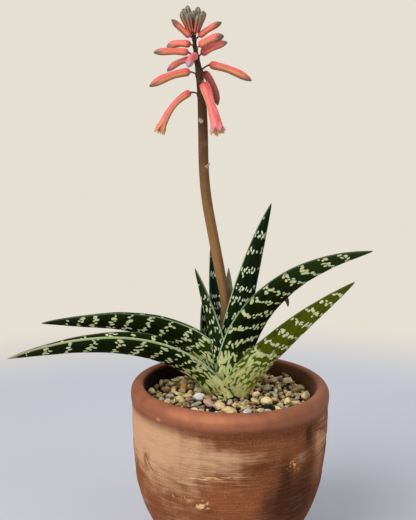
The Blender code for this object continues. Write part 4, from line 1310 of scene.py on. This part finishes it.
def stalk_at(height):
    """Centre and radius of the flower stalk at a height."""
    for lower, upper in zip(STALK_POINTS, STALK_POINTS[1:]):
        if height <= upper[2]:
            share = (height - lower[2]) / (upper[2] - lower[2])
            values = [a + (b - a) * share for a, b in zip(lower, upper)]
            return np.array(values[:3]), values[3]
    return np.array(STALK_POINTS[-1][:3]), STALK_POINTS[-1][3]


NODE_SWELLING = 0.00045         # how far the stalk swells out under a flower or a bract
NODE_HEIGHT = 0.0013
STALK_SIDES = 28
STALK_STEPS = 16


def stalk_form():
    """The stalk with fine lengthwise ridges, and a small swelling under each flower and bract."""
    line = smooth_line(STALK_POINTS, STALK_STEPS)
    along, side, front = axes_along(line[:, :3], (0.0, -1.0, 0.0))
    nodes = [(flower.height, flower.bearing) for flower in FLOWERS]
    nodes += [(height, bearing) for _, height, bearing in BRACTS]
    rings, places = [], []
    for i, (x, y, z, radius) in enumerate(line):
        ring, place = [], []
        for turn in full_turn(STALK_SIDES):
            outward = side[i] * math.cos(turn) + front[i] * math.sin(turn)
            bearing = math.atan2(outward[1], outward[0])
            reach = radius * (1.0 + 0.018 * math.cos(5 * turn) + 0.03 * math.cos(2 * turn))
            for height, at in nodes:
                facing = max(math.cos(bearing - math.radians(at)), 0.0)
                reach += NODE_SWELLING * math.exp(-((z - height + 0.0004) / NODE_HEIGHT) ** 2) * facing ** 3
            ring.append(np.array([x, y, z]) + outward * reach)
            place.append((math.cos(bearing), math.sin(bearing), z))
        rings.append(ring)
        places.append(place)
    first = line[0][:3] - along[0] * 0.0005
    last = line[-1][:3] + along[-1] * line[-1][3] * 0.8
    ends = [(0.0, 0.0, line[0][2]), (0.0, 0.0, line[-1][2])]
    return closed_loft(np.array(rings), first, last), np.concatenate([np.array(places).reshape(-1, 3), ends])


def stalk_material(settings):
    shader = Shader("stalk_skin")
    across, front, height = shader.parts_of(shader.attribute("stalk_place"))
    fibres = shader.noise(shader.joined(across * 9.0, front * 9.0, height * 30.0), 1.6, 4.0, 0.6)
    cloudy = shader.noise(shader.place(), 120.0, 3.0, 0.5)
    specks = shader.noise(shader.place(), 900.0, 2.0, 0.5)
    shade = shader.layered(settings.stalk_low, [
        (height.rising(0.20, 0.335), settings.stalk_high),
        (height.rising(0.215, 0.148) * 0.55, display(0.74, 0.57, 0.43)),
        (fibres.rising(0.55, 0.32) * 0.42, display(0.22, 0.12, 0.07)),
        (cloudy.rising(0.50, 0.72) * 0.28, display(0.66, 0.50, 0.34)),
        (specks.rising(0.66, 0.76) * 0.30, display(0.80, 0.66, 0.50)),
        (height.rising(0.322, 0.352) * (0.45 + cloudy * 0.5), display(0.17, 0.085, 0.05)),
    ])
    return shader.set(Base_Color=shade, Roughness=0.52 + fibres * 0.16,
                      Normal=shader.bump(fibres + specks * 0.2, 0.0003, 0.5), Specular_IOR_Level=0.18)


SCALE_ROWS, SCALE_COLUMNS = 9, 7
SCALE_THICKNESS = 0.00016       # half the thickness of a papery scale in its middle
SCALE_TIP = 0.00004             # half its width at its tip


def scale_form(base, outward, length, width, curl):
    """A thin pointed papery scale that grows up from base, cupped, and bent away from the stalk."""
    sideways = np.cross(UP, outward)
    points = []
    for skin in (SCALE_THICKNESS, -SCALE_THICKNESS):
        for share in (i / (SCALE_ROWS - 1) for i in range(SCALE_ROWS)):
            lean = curl * share
            middle = base + UP * length * share * math.cos(lean * 0.6) + outward * length * share * math.sin(lean)
            half = width * (1.0 - share ** 1.8) ** 0.8 * (0.75 + 0.5 * share) + SCALE_TIP
            for across in (-1.0 + 2.0 * k / (SCALE_COLUMNS - 1) for k in range(SCALE_COLUMNS)):
                cup = -0.35 * half * across * across
                points.append(middle + sideways * half * across + outward * (cup + skin * (1 - abs(across) * 0.7)))
    size = SCALE_ROWS * SCALE_COLUMNS
    grid = np.arange(size).reshape(SCALE_ROWS, SCALE_COLUMNS)
    faces = []
    for a in grid[:-1, :-1].ravel().tolist():
        b = a + SCALE_COLUMNS
        faces += [(a, a + 1, b + 1, b), (size + a, size + b, size + b + 1, size + a + 1)]
    rim = np.concatenate([grid[0], grid[1:, -1], grid[-1, -2::-1], grid[-2:0:-1, 0]]).tolist()
    faces += [(b, a, size + a, size + b) for a, b in zip(rim, rim[1:] + rim[:1])]
    return facing_out(Form(np.array(points), faces))


def facing_out(form):
    """The same form, with its faces turned round if it was inside out."""
    points = np.asarray(form.points)
    volume = 0.0
    for face in form.faces:
        for k in range(1, len(face) - 1):
            volume += np.dot(points[face[0]], np.cross(points[face[k]], points[face[k + 1]]))
    return form if volume > 0.0 else Form(points, [face[::-1] for face in form.faces])


def paper_material(settings):
    shader = Shader("dry_scale")
    place = shader.place()
    fibres = shader.noise(shader.scaled(place, (1.0, 1.0, 0.25)), 1500.0, 3.0, 0.6)
    cloudy = shader.noise(place, 500.0, 2.0, 0.5)
    shade = shader.layered(tuple(c * 0.55 for c in settings.bract), [
        (fibres.rising(0.35, 0.7), settings.bract),
        (cloudy.rising(0.55, 0.7) * 0.5, display(0.50, 0.33, 0.24)),
    ])
    return shader.set(Base_Color=shade, Roughness=0.85, Normal=shader.bump(fibres, 0.0002, 0.6))


def make_stalk(settings):
    form, places = stalk_form()
    add_piece("aloe_flower_stalk", form, [stalk_material(settings)], "flower_stalk", ["flower_stalk"],
              point_values={"stalk_place": places})
    paper = paper_material(settings)
    for name, height, bearing in BRACTS:
        centre, radius = stalk_at(height)
        outward = heading(0.0, math.radians(bearing))
        base = centre + outward * (radius + 0.0001) - UP * 0.0016
        add_piece("aloe_" + name, scale_form(base, outward, 0.0040, 0.0021, 0.75), [paper], "dry_bract", [name])


# ---- Flowers -----------------------------------------------------------------------------------

WIDE_OPEN = "flower_right_hanging"
SHADED = "flower_right_shaded"
OPEN = 2.0                      # ripeness of a flower that has opened
TUBE_SIDES = 36
TUBE_TURNS = full_turn(TUBE_SIDES)
TUBE_STEPS = 60                 # steps along a tube's centre line
CLOSED_OUTLINE = [
    (0.00, 0.45), (0.02, 0.72), (0.05, 0.92), (0.12, 1.02), (0.25, 0.97), (0.40, 0.93), (0.55, 0.99), (0.68, 1.02),
    (0.80, 0.92), (0.88, 0.72), (0.94, 0.48), (0.98, 0.26), (1.00, 0.08),
]
YOUNG_OUTLINE = [
    (0.00, 0.40), (0.02, 0.60), (0.05, 0.72), (0.12, 0.82), (0.25, 0.86), (0.40, 0.92), (0.55, 1.02), (0.68, 1.10),
    (0.80, 1.10), (0.88, 0.98), (0.94, 0.76), (0.98, 0.46), (1.00, 0.15),
]
YOUNG = 0.5                     # buds less ripe than this are blunt and still pale green
OPEN_OUTLINE = [
    (0.00, 0.45), (0.02, 0.74), (0.05, 0.95), (0.14, 0.99), (0.28, 0.90), (0.42, 0.82), (0.58, 0.90), (0.72, 0.99),
    (0.84, 1.06), (0.92, 1.16), (0.97, 1.30), (1.00, 1.46),
]
LOBE_REACH = 0.11               # how far the pointed lips run past the throat, as a share of the length
PETAL_THICKNESS = 0.00030


def tube_line(flower):
    """The foot of the pedicel, and points along the tube's centre line."""
    turn = math.radians(flower.bearing)
    centre, radius = stalk_at(flower.height)
    foot = centre + heading(0.0, turn) * (radius - 0.0003)
    start = centre + heading(0.0, turn) * (radius + STALK_CLEARANCE)
    points = [start + heading(math.radians(flower.stalk_rise), turn) * flower.stalk]
    for i in range(TUBE_STEPS):
        rise = bent(flower.rise, flower.tip_rise, flower.curl, (i + 0.5) / TUBE_STEPS)
        points.append(points[-1] + heading(rise, turn) * flower.length / TUBE_STEPS)
    return foot, np.array(points)


def tube_section(radius, ridged):
    """Distances from the centre round a tube: three broad ridges where the outer petals meet."""
    return radius * (1.0 + 0.045 * ridged * np.cos(3 * TUBE_TURNS) + 0.012 * np.cos(6 * TUBE_TURNS))


def tube_rings(flower, line, shares, radii, ridged, lobes):
    """Rings of a tube at shares of its length. Lobes is how much further along each of their points lies."""
    along, side, over = axes_along(line)
    stations = np.linspace(0.0, 1.0, len(line))
    rings = []
    for share, radius, ridge, lobe in zip(shares, radii, ridged, lobes):
        ring = []
        for turn, distance, further in zip(TUBE_TURNS, tube_section(radius, ridge), lobe):
            reach = share + further
            beyond = max(reach - 1.0, 0.0) * flower.length
            here = np.array([np.interp(min(reach, 1.0), stations, line[:, axis]) for axis in range(3)])
            i = min(int(min(reach, 1.0) * (len(line) - 1)), len(line) - 1)
            outward = side[i] * math.cos(turn) + over[i] * math.sin(turn)
            ring.append(here + along[i] * beyond + outward * distance)
        rings.append(ring)
    return np.array(rings)


def tube_values(shares, lining):
    """(up side, share, lining) and turn of each point of a tube's rings, and of the two that close it."""
    turns = np.append(np.tile(TUBE_TURNS, len(shares)), [0.0, 0.0])
    shares = np.append(np.repeat(shares, TUBE_SIDES), [0.0, shares[-1]])
    lining = np.append(np.repeat(lining, TUBE_SIDES), [0.0, lining[-1]])
    return columns(-np.sin(turns), shares, lining), turns


def closed_tube(flower, line):
    outline = YOUNG_OUTLINE if flower.ripeness < YOUNG else CLOSED_OUTLINE
    shares, radii = smooth_line([(share, radius * flower.radius) for share, radius in outline], 4).T
    ridged = 0.6 + 1.6 * np.maximum(shares - 0.55, 0.0) / 0.45
    rings = tube_rings(flower, line, shares, radii, ridged, np.zeros((len(shares), TUBE_SIDES)))
    form = closed_loft(rings, line[0], line[-1] + unit(line[-1] - line[-2]) * 0.0002)
    return form, *tube_values(shares, np.zeros(len(shares)))


LINING_RINGS = 26               # rings from the lips down to the throat


def open_tube(flower, line):
    """An open tube: six pointed lips that bend outwards, a lining inside them, and a throat."""
    outer = smooth_line([(share, radius * flower.radius) for share, radius in OPEN_OUTLINE], 4)
    inner = outer[::-1][:LINING_RINGS] - (0.0, PETAL_THICKNESS)
    shares, radii = np.concatenate([outer, inner]).T
    petal = np.abs(np.cos(3.0 * TUBE_TURNS + 0.35)) ** 0.8
    reach = LOBE_REACH * (1.0 if flower.name == WIDE_OPEN else 1.9)
    lobes = np.outer(ramp(shares, 0.80, 1.0) ** 1.5, petal - 0.55) * reach
    rings = tube_rings(flower, line, shares, radii, 0.6 + 0.6 * shares, lobes)
    form = closed_loft(rings, line[0], rings[-1].mean(axis=0))
    return form, *tube_values(shares, np.repeat([0.0, 1.0], [len(outer), len(inner)]))


def thin_tube(points, radii, sides=12):
    line = np.asarray(points, float)
    along, side, over = axes_along(line)
    turns = full_turn(sides)
    rings = [[point + (side[i] * math.cos(turn) + over[i] * math.sin(turn)) * radii[i] for turn in turns]
             for i, point in enumerate(line)]
    last = line[-1] + along[-1] * radii[-1] * 0.7
    return closed_loft(np.array(rings), line[0] - along[0] * radii[0] * 0.4, last)


PEDICEL_RADII = ([0.0, 0.25, 0.75, 1.0], [0.00085, 0.00055, 0.00058, 0.0011])    # shares of its length and radii


def pedicel_form(flower, foot, line):
    """The thin stalk that carries a flower, flared where it joins the tube."""
    meet = line[0] + unit(line[1] - line[0]) * 0.0006
    lift = UP * flower.stalk * 0.10
    curve = smooth_line([foot, foot * 0.66 + meet * 0.34 + lift, foot * 0.34 + meet * 0.66 + lift, meet], 5)
    return thin_tube(curve, np.interp(np.linspace(0, 1, len(curve)), *PEDICEL_RADII))


def stamen_forms(flower, line, rng):
    """Threads with anthers that stand out of an open flower."""
    onward = unit(line[-1] - line[-2])
    aside = unit(np.cross(onward, (0.3, 1.0, 0.1)))
    across = np.cross(onward, aside)
    threads, anthers = [], []
    count, shortest, longest = (5, 0.0012, 0.0026) if flower.name == WIDE_OPEN else (3, 0.0004, 0.0012)
    for i in range(count):
        turn = math.tau * i / count + rng.uniform(-0.3, 0.3)
        spread = aside * math.cos(turn) + across * math.sin(turn)
        length = rng.uniform(shortest, longest)
        start = line[-1] - onward * flower.length * 0.30 + spread * flower.radius * 0.25
        end = line[-1] + onward * length + spread * flower.radius * rng.uniform(0.30, 0.60)
        threads.append(thin_tube(smooth_line([start, start * 0.4 + end * 0.6, end], 5), [0.00016] * 11, 8))
        tilt = unit(onward + spread * rng.uniform(-0.8, 0.8))
        knots = [end + tilt * off for off in (-0.0009, -0.0004, 0.0004, 0.0009)]
        anthers.append(thin_tube(knots, [0.00028, 0.00052, 0.00050, 0.00024], 10))
    return threads, anthers


# What lies over the coral of a few flowers: how much of it, and its colours at the tube's foot and tip.
# Over the shaded flower this is painted shade, darker towards the tip; over the others it is a pinker tint.
PINK_TINTS_AND_PAINTED_SHADE = {
    SHADED: (0.78, (0.80, 0.36, 0.34), (0.50, 0.20, 0.17)),
    "flower_front": (0.45, (0.88, 0.45, 0.55), (0.88, 0.45, 0.55)),
    "flower_left_behind": (0.45, (0.88, 0.45, 0.55), (0.88, 0.45, 0.55)),
}
TIP_TONES = {"flower_front": display(0.66, 0.60, 0.66), "flower_left_upper": display(0.50, 0.46, 0.47)}
TIP_RUN = 0.20                  # share of a tube's length over which its tip turns grey-green


def end_layers(flower, settings, share, upward, lining, rough):
    """What lies over the end of a tube: dark in a young bud, grey-green in a ripe one, and pale if it is open."""
    ripe = min(flower.ripeness, 1.0)
    if flower.ripeness < YOUNG:
        return [(share.rising(0.90, 1.0) * 0.45, display(0.34, 0.31, 0.25))]
    if flower.ripeness >= OPEN:
        lips = display(0.80, 0.56, 0.62) if flower.name == WIDE_OPEN else display(0.80, 0.55, 0.32)
        return [(share.rising(0.84, 1.0) * 0.55, lips), (lining * 0.85, settings.lining)]
    start = 0.97 - 0.28 * (1.0 - ripe) - TIP_RUN
    tip = (share + rough - upward * 0.05).rising(start, start + TIP_RUN)
    strength = 0.25 if flower.name == SHADED else 0.88 if ripe < 1.0 else 0.78
    return [(tip * strength, TIP_TONES.get(flower.name, settings.tip)),
            (share.rising(0.93, 1.0) * 0.35, display(0.26, 0.22, 0.18))]


def petal_material(flower, settings):
    shader = Shader(f"petals_of_{flower.name}")
    upward, share, lining = shader.parts_of(shader.attribute("petal_place"))
    turn = shader.attribute("petal_turn", "Fac")
    ripe = min(flower.ripeness, 1.0)
    nerves = abs((turn * 3.0).math("COSINE"))
    streak = shader.noise(shader.joined(upward * 4.0, turn.math("SINE") * 4.0, share * 2.4), 2.2, 3.0, 0.6)
    cloudy = shader.noise(shader.place(), 260.0, 3.0, 0.5)
    level = upward + (streak - 0.5) * 0.30
    stripe = level.rising(0.22, -0.06) * (0.55 + streak * 0.6) * share.rising(0.02, 0.20)
    coral = shader.layered(settings.coral, [
        (streak.rising(0.35, 0.7), display(0.98, 0.56, 0.52)),
        (share.rising(0.20, 0.0) * 0.75, settings.rose),
        (stripe.clamped() * (1.0 if ripe > 0.85 else 0.55), settings.gold),
        # painted shade on the bottom of the tube, which faces down
        (level.rising(-0.36, -0.66) * 0.80, display(0.70, 0.38, 0.23)),
        (level.rising(0.16, 0.24) * level.rising(0.38, 0.28) * 0.35, display(0.66, 0.20, 0.19)),
    ])
    # painted shade over the shaded flower, and a pinker tint over two others
    if flower.name in PINK_TINTS_AND_PAINTED_SHADE:
        amount, foot, tip = PINK_TINTS_AND_PAINTED_SHADE[flower.name]
        coral = shader.mix(amount, coral, shader.mix(share.rising(0.1, 0.9), display(*foot), display(*tip)))
    coral = shader.mix(nerves.rising(0.90, 0.99) * (0.12 + 0.10 * share), coral, display(0.62, 0.24, 0.20))
    young = shader.layered(display(0.82, 0.43, 0.32), [
        ((share + (streak - 0.5) * 0.4).rising(0.30, 0.92), settings.bud),
        (streak.rising(0.50, 0.70) * 0.35, display(0.62, 0.60, 0.45)),
        (nerves.rising(0.55, 0.92) * (0.95 - share * 0.35), display(0.24, 0.13, 0.095)),
    ])
    rough = (nerves - 0.5) * 0.12 + (cloudy - 0.5) * 0.12
    shade = shader.layered(young, [
        (min(max((ripe - 0.30) / 0.3, 0.0), 1.0), coral),
        *end_layers(flower, settings, share, upward, lining, rough),
        (cloudy.rising(0.62, 0.75) * 0.12, display(1.0, 0.82, 0.76)),
    ])
    relief = streak * 0.5 + nerves * 0.5
    return shader.set(Base_Color=shade, Roughness=0.40 + streak * 0.12, Normal=shader.bump(relief, 0.0003, 0.45),
                      Specular_IOR_Level=0.4)


def plain_material(name, shade, second, scale, roughness):
    """A small part's finish: one colour mottled with another."""
    shader = Shader(name)
    mottle = shader.noise(shader.place(), scale, 3.0, 0.55)
    mixed = shader.mix(mottle.rising(0.38, 0.66), shade, second)
    return shader.set(Base_Color=mixed, Roughness=roughness, Normal=shader.bump(mottle, 0.0002, 0.5))


def make_flower(flower, settings, shared):
    """One flower with its pedicel, the scale under it, and its stamens if it is open."""
    foot, line = tube_line(flower)
    is_open = flower.ripeness >= OPEN
    tube, place, turns = (open_tube if is_open else closed_tube)(flower, line)
    outward = heading(0.0, math.radians(flower.bearing))
    grown = min(flower.ripeness, 1.0) * 0.4 + 0.6
    scale = scale_form(foot - UP * 0.0012 + outward * 0.0001, outward, 0.0030 * grown, 0.0010 * grown, 1.0)
    groups = [[facing_out(tube)], [facing_out(pedicel_form(flower, foot, line))], [scale]]
    if is_open:
        rng = random.Random(sum(map(ord, flower.name)))
        groups += [[facing_out(form) for form in forms] for forms in stamen_forms(flower, line, rng)]
    whole = joined_forms([form for forms in groups for form in forms])
    extra = len(whole.points) - len(place)
    values = {"petal_place": np.pad(place, ((0, extra), (0, 0))), "petal_turn": np.pad(turns, (0, extra))}
    finish = [index for index, forms in enumerate(groups) for form in forms for _ in form.faces]
    slot = "bud" if flower.name.startswith("bud") else "petal"
    return add_piece("aloe_" + flower.name, whole, [petal_material(flower, settings), *shared], slot,
                     [flower.name], point_values=values, finish_of=finish)


def make_flowers(settings):
    shared = [
        plain_material("pedicel_skin", settings.pedicel, display(0.45, 0.22, 0.16), 700.0, 0.55),
        paper_material(settings),
        plain_material("stamen_thread", display(0.93, 0.85, 0.55), display(0.86, 0.66, 0.36), 900.0, 0.5),
        plain_material("pollen", settings.anther, display(0.80, 0.52, 0.12), 1600.0, 0.8),
    ]
    for flower in FLOWERS:
        make_flower(flower, settings, shared)
    make_crown(settings)


CROWN_SCALES = 9
CROWN_FOOT = 0.3685             # height of the foot of the topmost scale
CROWN_RADII = ([0, 0.6, 0.85, 1], [0.0007, 0.00145, 0.0012, 0.0004])    # shares of a scale's length and radii


def make_crown(settings):
    """The cluster of unopened scales at the very tip of the stalk."""
    rng = random.Random(5)
    centre, _ = stalk_at(0.371)
    radii = np.interp(np.linspace(0, 1, 11), *CROWN_RADII)
    forms = []
    for i in range(CROWN_SCALES):
        turn, lean = i * 2.4, 0.12 + 0.045 * i
        foot = np.array([*centre[:2], CROWN_FOOT + 0.0006 * (CROWN_SCALES - 1 - i)])
        start = foot + heading(0.0, turn) * 0.0006
        end = start + heading(math.pi / 2 - lean, turn) * rng.uniform(0.0085, 0.0115)
        forms.append(facing_out(thin_tube(smooth_line([start, start * 0.35 + end * 0.65, end], 5), radii, 14)))
    material = plain_material("crown_scale", settings.bud, display(0.36, 0.27, 0.19), 420.0, 0.6)
    add_piece("aloe_crown", joined_forms(forms), [material], "bud")


# ---- Stage -------------------------------------------------------------------------------------

CAMERA_PLACE = (-0.0155, -0.53235, 0.30588)
CAMERA_DIP = 9.5                # degrees below level
FADE_NEAR = 0.40                # where the floor starts to turn into the backdrop
FADE_FAR = 0.72
FLOOR_REACH = 6.0
FLOOR_DROP = 0.0002             # how far the floor lies under the pot's foot, so that they do not flicker
LIT_POINT = (0.0, 0.0, 0.19)    # where the lamps point, measured like all these places from the pot's axis
SKY = (0.94, 0.97, 1.0)         # colour of the light from all round

# The setting that gives each lamp its power, and how many times over.
Lamp = namedtuple("Lamp", "name place width setting times shade")
LAMPS = [
    Lamp("key", (-0.85, -0.75, 1.10), 1.25, "key", 1.0, (1.0, 0.975, 0.94)),
    Lamp("fill", (0.95, -0.60, 0.55), 0.9, "fill", 1.0, (0.95, 0.975, 1.0)),
    Lamp("back", (0.35, 0.95, 0.95), 0.7, "fill", 1.6, (1.0, 1.0, 1.0)),
]


def seen_directly(shader):
    """1 for a ray that shows the background: from the camera, or through or off something shiny."""
    ray = shader.add("ShaderNodeLightPath", output="Is Camera Ray")
    return (ray + ray.output("Is Glossy Ray") + ray.output("Is Transmission Ray")).clamped()


def floor_material(settings):
    shader = Shader("table_top")
    x, y, _ = shader.parts_of(shader.place())
    far = ((x * x + y * y) ** 0.5).rising(FADE_NEAR, FADE_FAR)
    shader.set(Base_Color=settings.table, Roughness=0.9, Specular_IOR_Level=0.1)
    lit = Wire(shader, shader.principled.outputs[0])
    glow = shader.add("ShaderNodeEmission", None, {"Color": settings.wall, "Strength": 1.0})
    shader.between(far * seen_directly(shader), lit, glow, "Material Output")
    return shader.material


def make_floor(settings):
    mesh = bpy.data.meshes.new("table")
    corners = [(x * FLOOR_REACH, y * FLOOR_REACH, 0.0) for x, y in ((-1, -1), (1, -1), (1, 1), (-1, 1))]
    mesh.from_pydata(corners, [], [(0, 1, 2, 3)])
    mesh.materials.append(floor_material(settings))
    floor = stand("table", mesh, (0.0, 0.0, -FLOOR_DROP))


def make_backdrop(settings):
    """A world that shows the wall's colour, and lights the scene evenly from all round."""
    world = bpy.data.worlds.new("studio")
    bpy.context.scene.world = world
    world.use_nodes = True
    nodes = Nodes(world.node_tree)
    nodes.tree.nodes.remove(nodes.tree.nodes["Background"])
    ray = nodes.add("ShaderNodeLightPath", output="Is Camera Ray")
    light = nodes.add("ShaderNodeBackground", None, {"Color": SKY, "Strength": settings.ambient})
    shown = nodes.add("ShaderNodeBackground", None, {"Color": settings.wall})
    nodes.between(ray + ray.output("Is Transmission Ray"), light, shown, "World Output")


def add_lamp(lamp, settings):
    light = bpy.data.lights.new(lamp.name, "AREA")
    light.shape = "DISK"
    light.size = lamp.width
    light.energy = getattr(settings, lamp.setting) * lamp.times
    light.color = lamp.shade
    holder = stand(lamp.name, light, lamp.place)
    holder.rotation_euler = (Vector(LIT_POINT) - Vector(lamp.place)).to_track_quat("-Z", "Y").to_euler()


def add_camera(settings):
    lens = bpy.data.cameras.new("camera")
    lens.lens = settings.lens
    lens.sensor_width = 36.0
    lens.clip_start = 0.01
    camera = stand("camera", lens, CAMERA_PLACE)
    camera.rotation_euler = (math.radians(90.0 - CAMERA_DIP), 0.0, 0.0)
    bpy.context.scene.camera = camera


# ---- Operators ---------------------------------------------------------------------------------

class AloeBuildPot(bpy.types.Operator):
    """Build the thrown clay pot"""

    bl_idname = "aloe.build_pot"
    bl_label = "Pot"

    def execute(self, context):
        settings = context.scene.aloe_pot
        add_piece("clay_pot", pot_form(settings), [clay_material(settings)], "pot", ["pot"])
        return {"FINISHED"}


class AloeFillPot(bpy.types.Operator):
    """Finish the soil and the roots, and lay the pebbles"""

    bl_idname = "aloe.fill_pot"
    bl_label = "Soil and Pebbles"

    def execute(self, context):
        for name, material in (("soil", soil_material()), ("root_stock", root_material())):
            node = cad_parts[name]
            node.data.materials.clear()
            node.data.materials.append(material)
        add_piece("fine_grit", grit_form(random.Random(3)), [grit_shadow_material()], "gravel", ["gravel_bed"])
        make_pebbles(context.scene.aloe_gravel)
        return {"FINISHED"}


class AloeGrowLeaves(bpy.types.Operator):
    """Grow the rosette of banded leaves"""

    bl_idname = "aloe.grow_leaves"
    bl_label = "Leaves"

    def execute(self, context):
        for leaf in LEAVES:
            make_leaf(leaf, context.scene.aloe_leaf)
        return {"FINISHED"}


class AloeGrowStalk(bpy.types.Operator):
    """Grow the flower stalk with its dry bracts"""

    bl_idname = "aloe.grow_stalk"
    bl_label = "Flower Stalk"

    def execute(self, context):
        make_stalk(context.scene.aloe_flower)
        return {"FINISHED"}


class AloeGrowFlowers(bpy.types.Operator):
    """Grow the flowers and buds"""

    bl_idname = "aloe.grow_flowers"
    bl_label = "Flowers"

    def execute(self, context):
        make_flowers(context.scene.aloe_flower)
        return {"FINISHED"}


class AloeSetStage(bpy.types.Operator):
    """Set the floor, backdrop, lamps and camera"""

    bl_idname = "aloe.set_stage"
    bl_label = "Stage"

    def execute(self, context):
        settings = context.scene.aloe_stage
        make_floor(settings)
        make_backdrop(settings)
        for lamp in LAMPS:
            add_lamp(lamp, settings)
        add_camera(settings)
        bpy.context.scene.view_settings.view_transform = "Standard"
        return {"FINISHED"}


class AloePanel(bpy.types.Panel):
    """Sizes, colours and operators of the potted aloe"""

    bl_idname = "VIEW3D_PT_aloe"
    bl_label = "Potted Tiger Aloe"
    bl_space_type = "VIEW_3D"
    bl_region_type = "UI"
    bl_category = "Aloe"

    def draw(self, context):
        for name, group, operators in STEPS:
            box = self.layout.box()
            for setting in group.__annotations__:
                box.prop(getattr(context.scene, name), setting)
            for operator in operators:
                box.operator(operator.bl_idname)


STEPS = [
    ("aloe_pot", AloePotSettings, [AloeBuildPot]),
    ("aloe_gravel", AloeGravelSettings, [AloeFillPot]),
    ("aloe_leaf", AloeLeafSettings, [AloeGrowLeaves]),
    ("aloe_flower", AloeFlowerSettings, [AloeGrowStalk, AloeGrowFlowers]),
    ("aloe_stage", AloeStageSettings, [AloeSetStage]),
]


def classes():
    groups = [group for _, group, _ in STEPS]
    return [*groups, *(operator for _, _, operators in STEPS for operator in operators), AloePanel]


def register():
    for each in classes():
        bpy.utils.register_class(each)
    for name, group, _ in STEPS:
        setattr(bpy.types.Scene, name, PointerProperty(type=group))


def unregister():
    for name, _, _ in STEPS:
        delattr(bpy.types.Scene, name)
    for each in reversed(classes()):
        bpy.utils.unregister_class(each)


def main():
    register()
    bpy.ops.aloe.build_pot()
    bpy.ops.aloe.fill_pot()
    bpy.ops.aloe.grow_leaves()
    bpy.ops.aloe.grow_stalk()
    bpy.ops.aloe.grow_flowers()
    bpy.ops.aloe.set_stage()


if __name__ == "__main__":
    main()
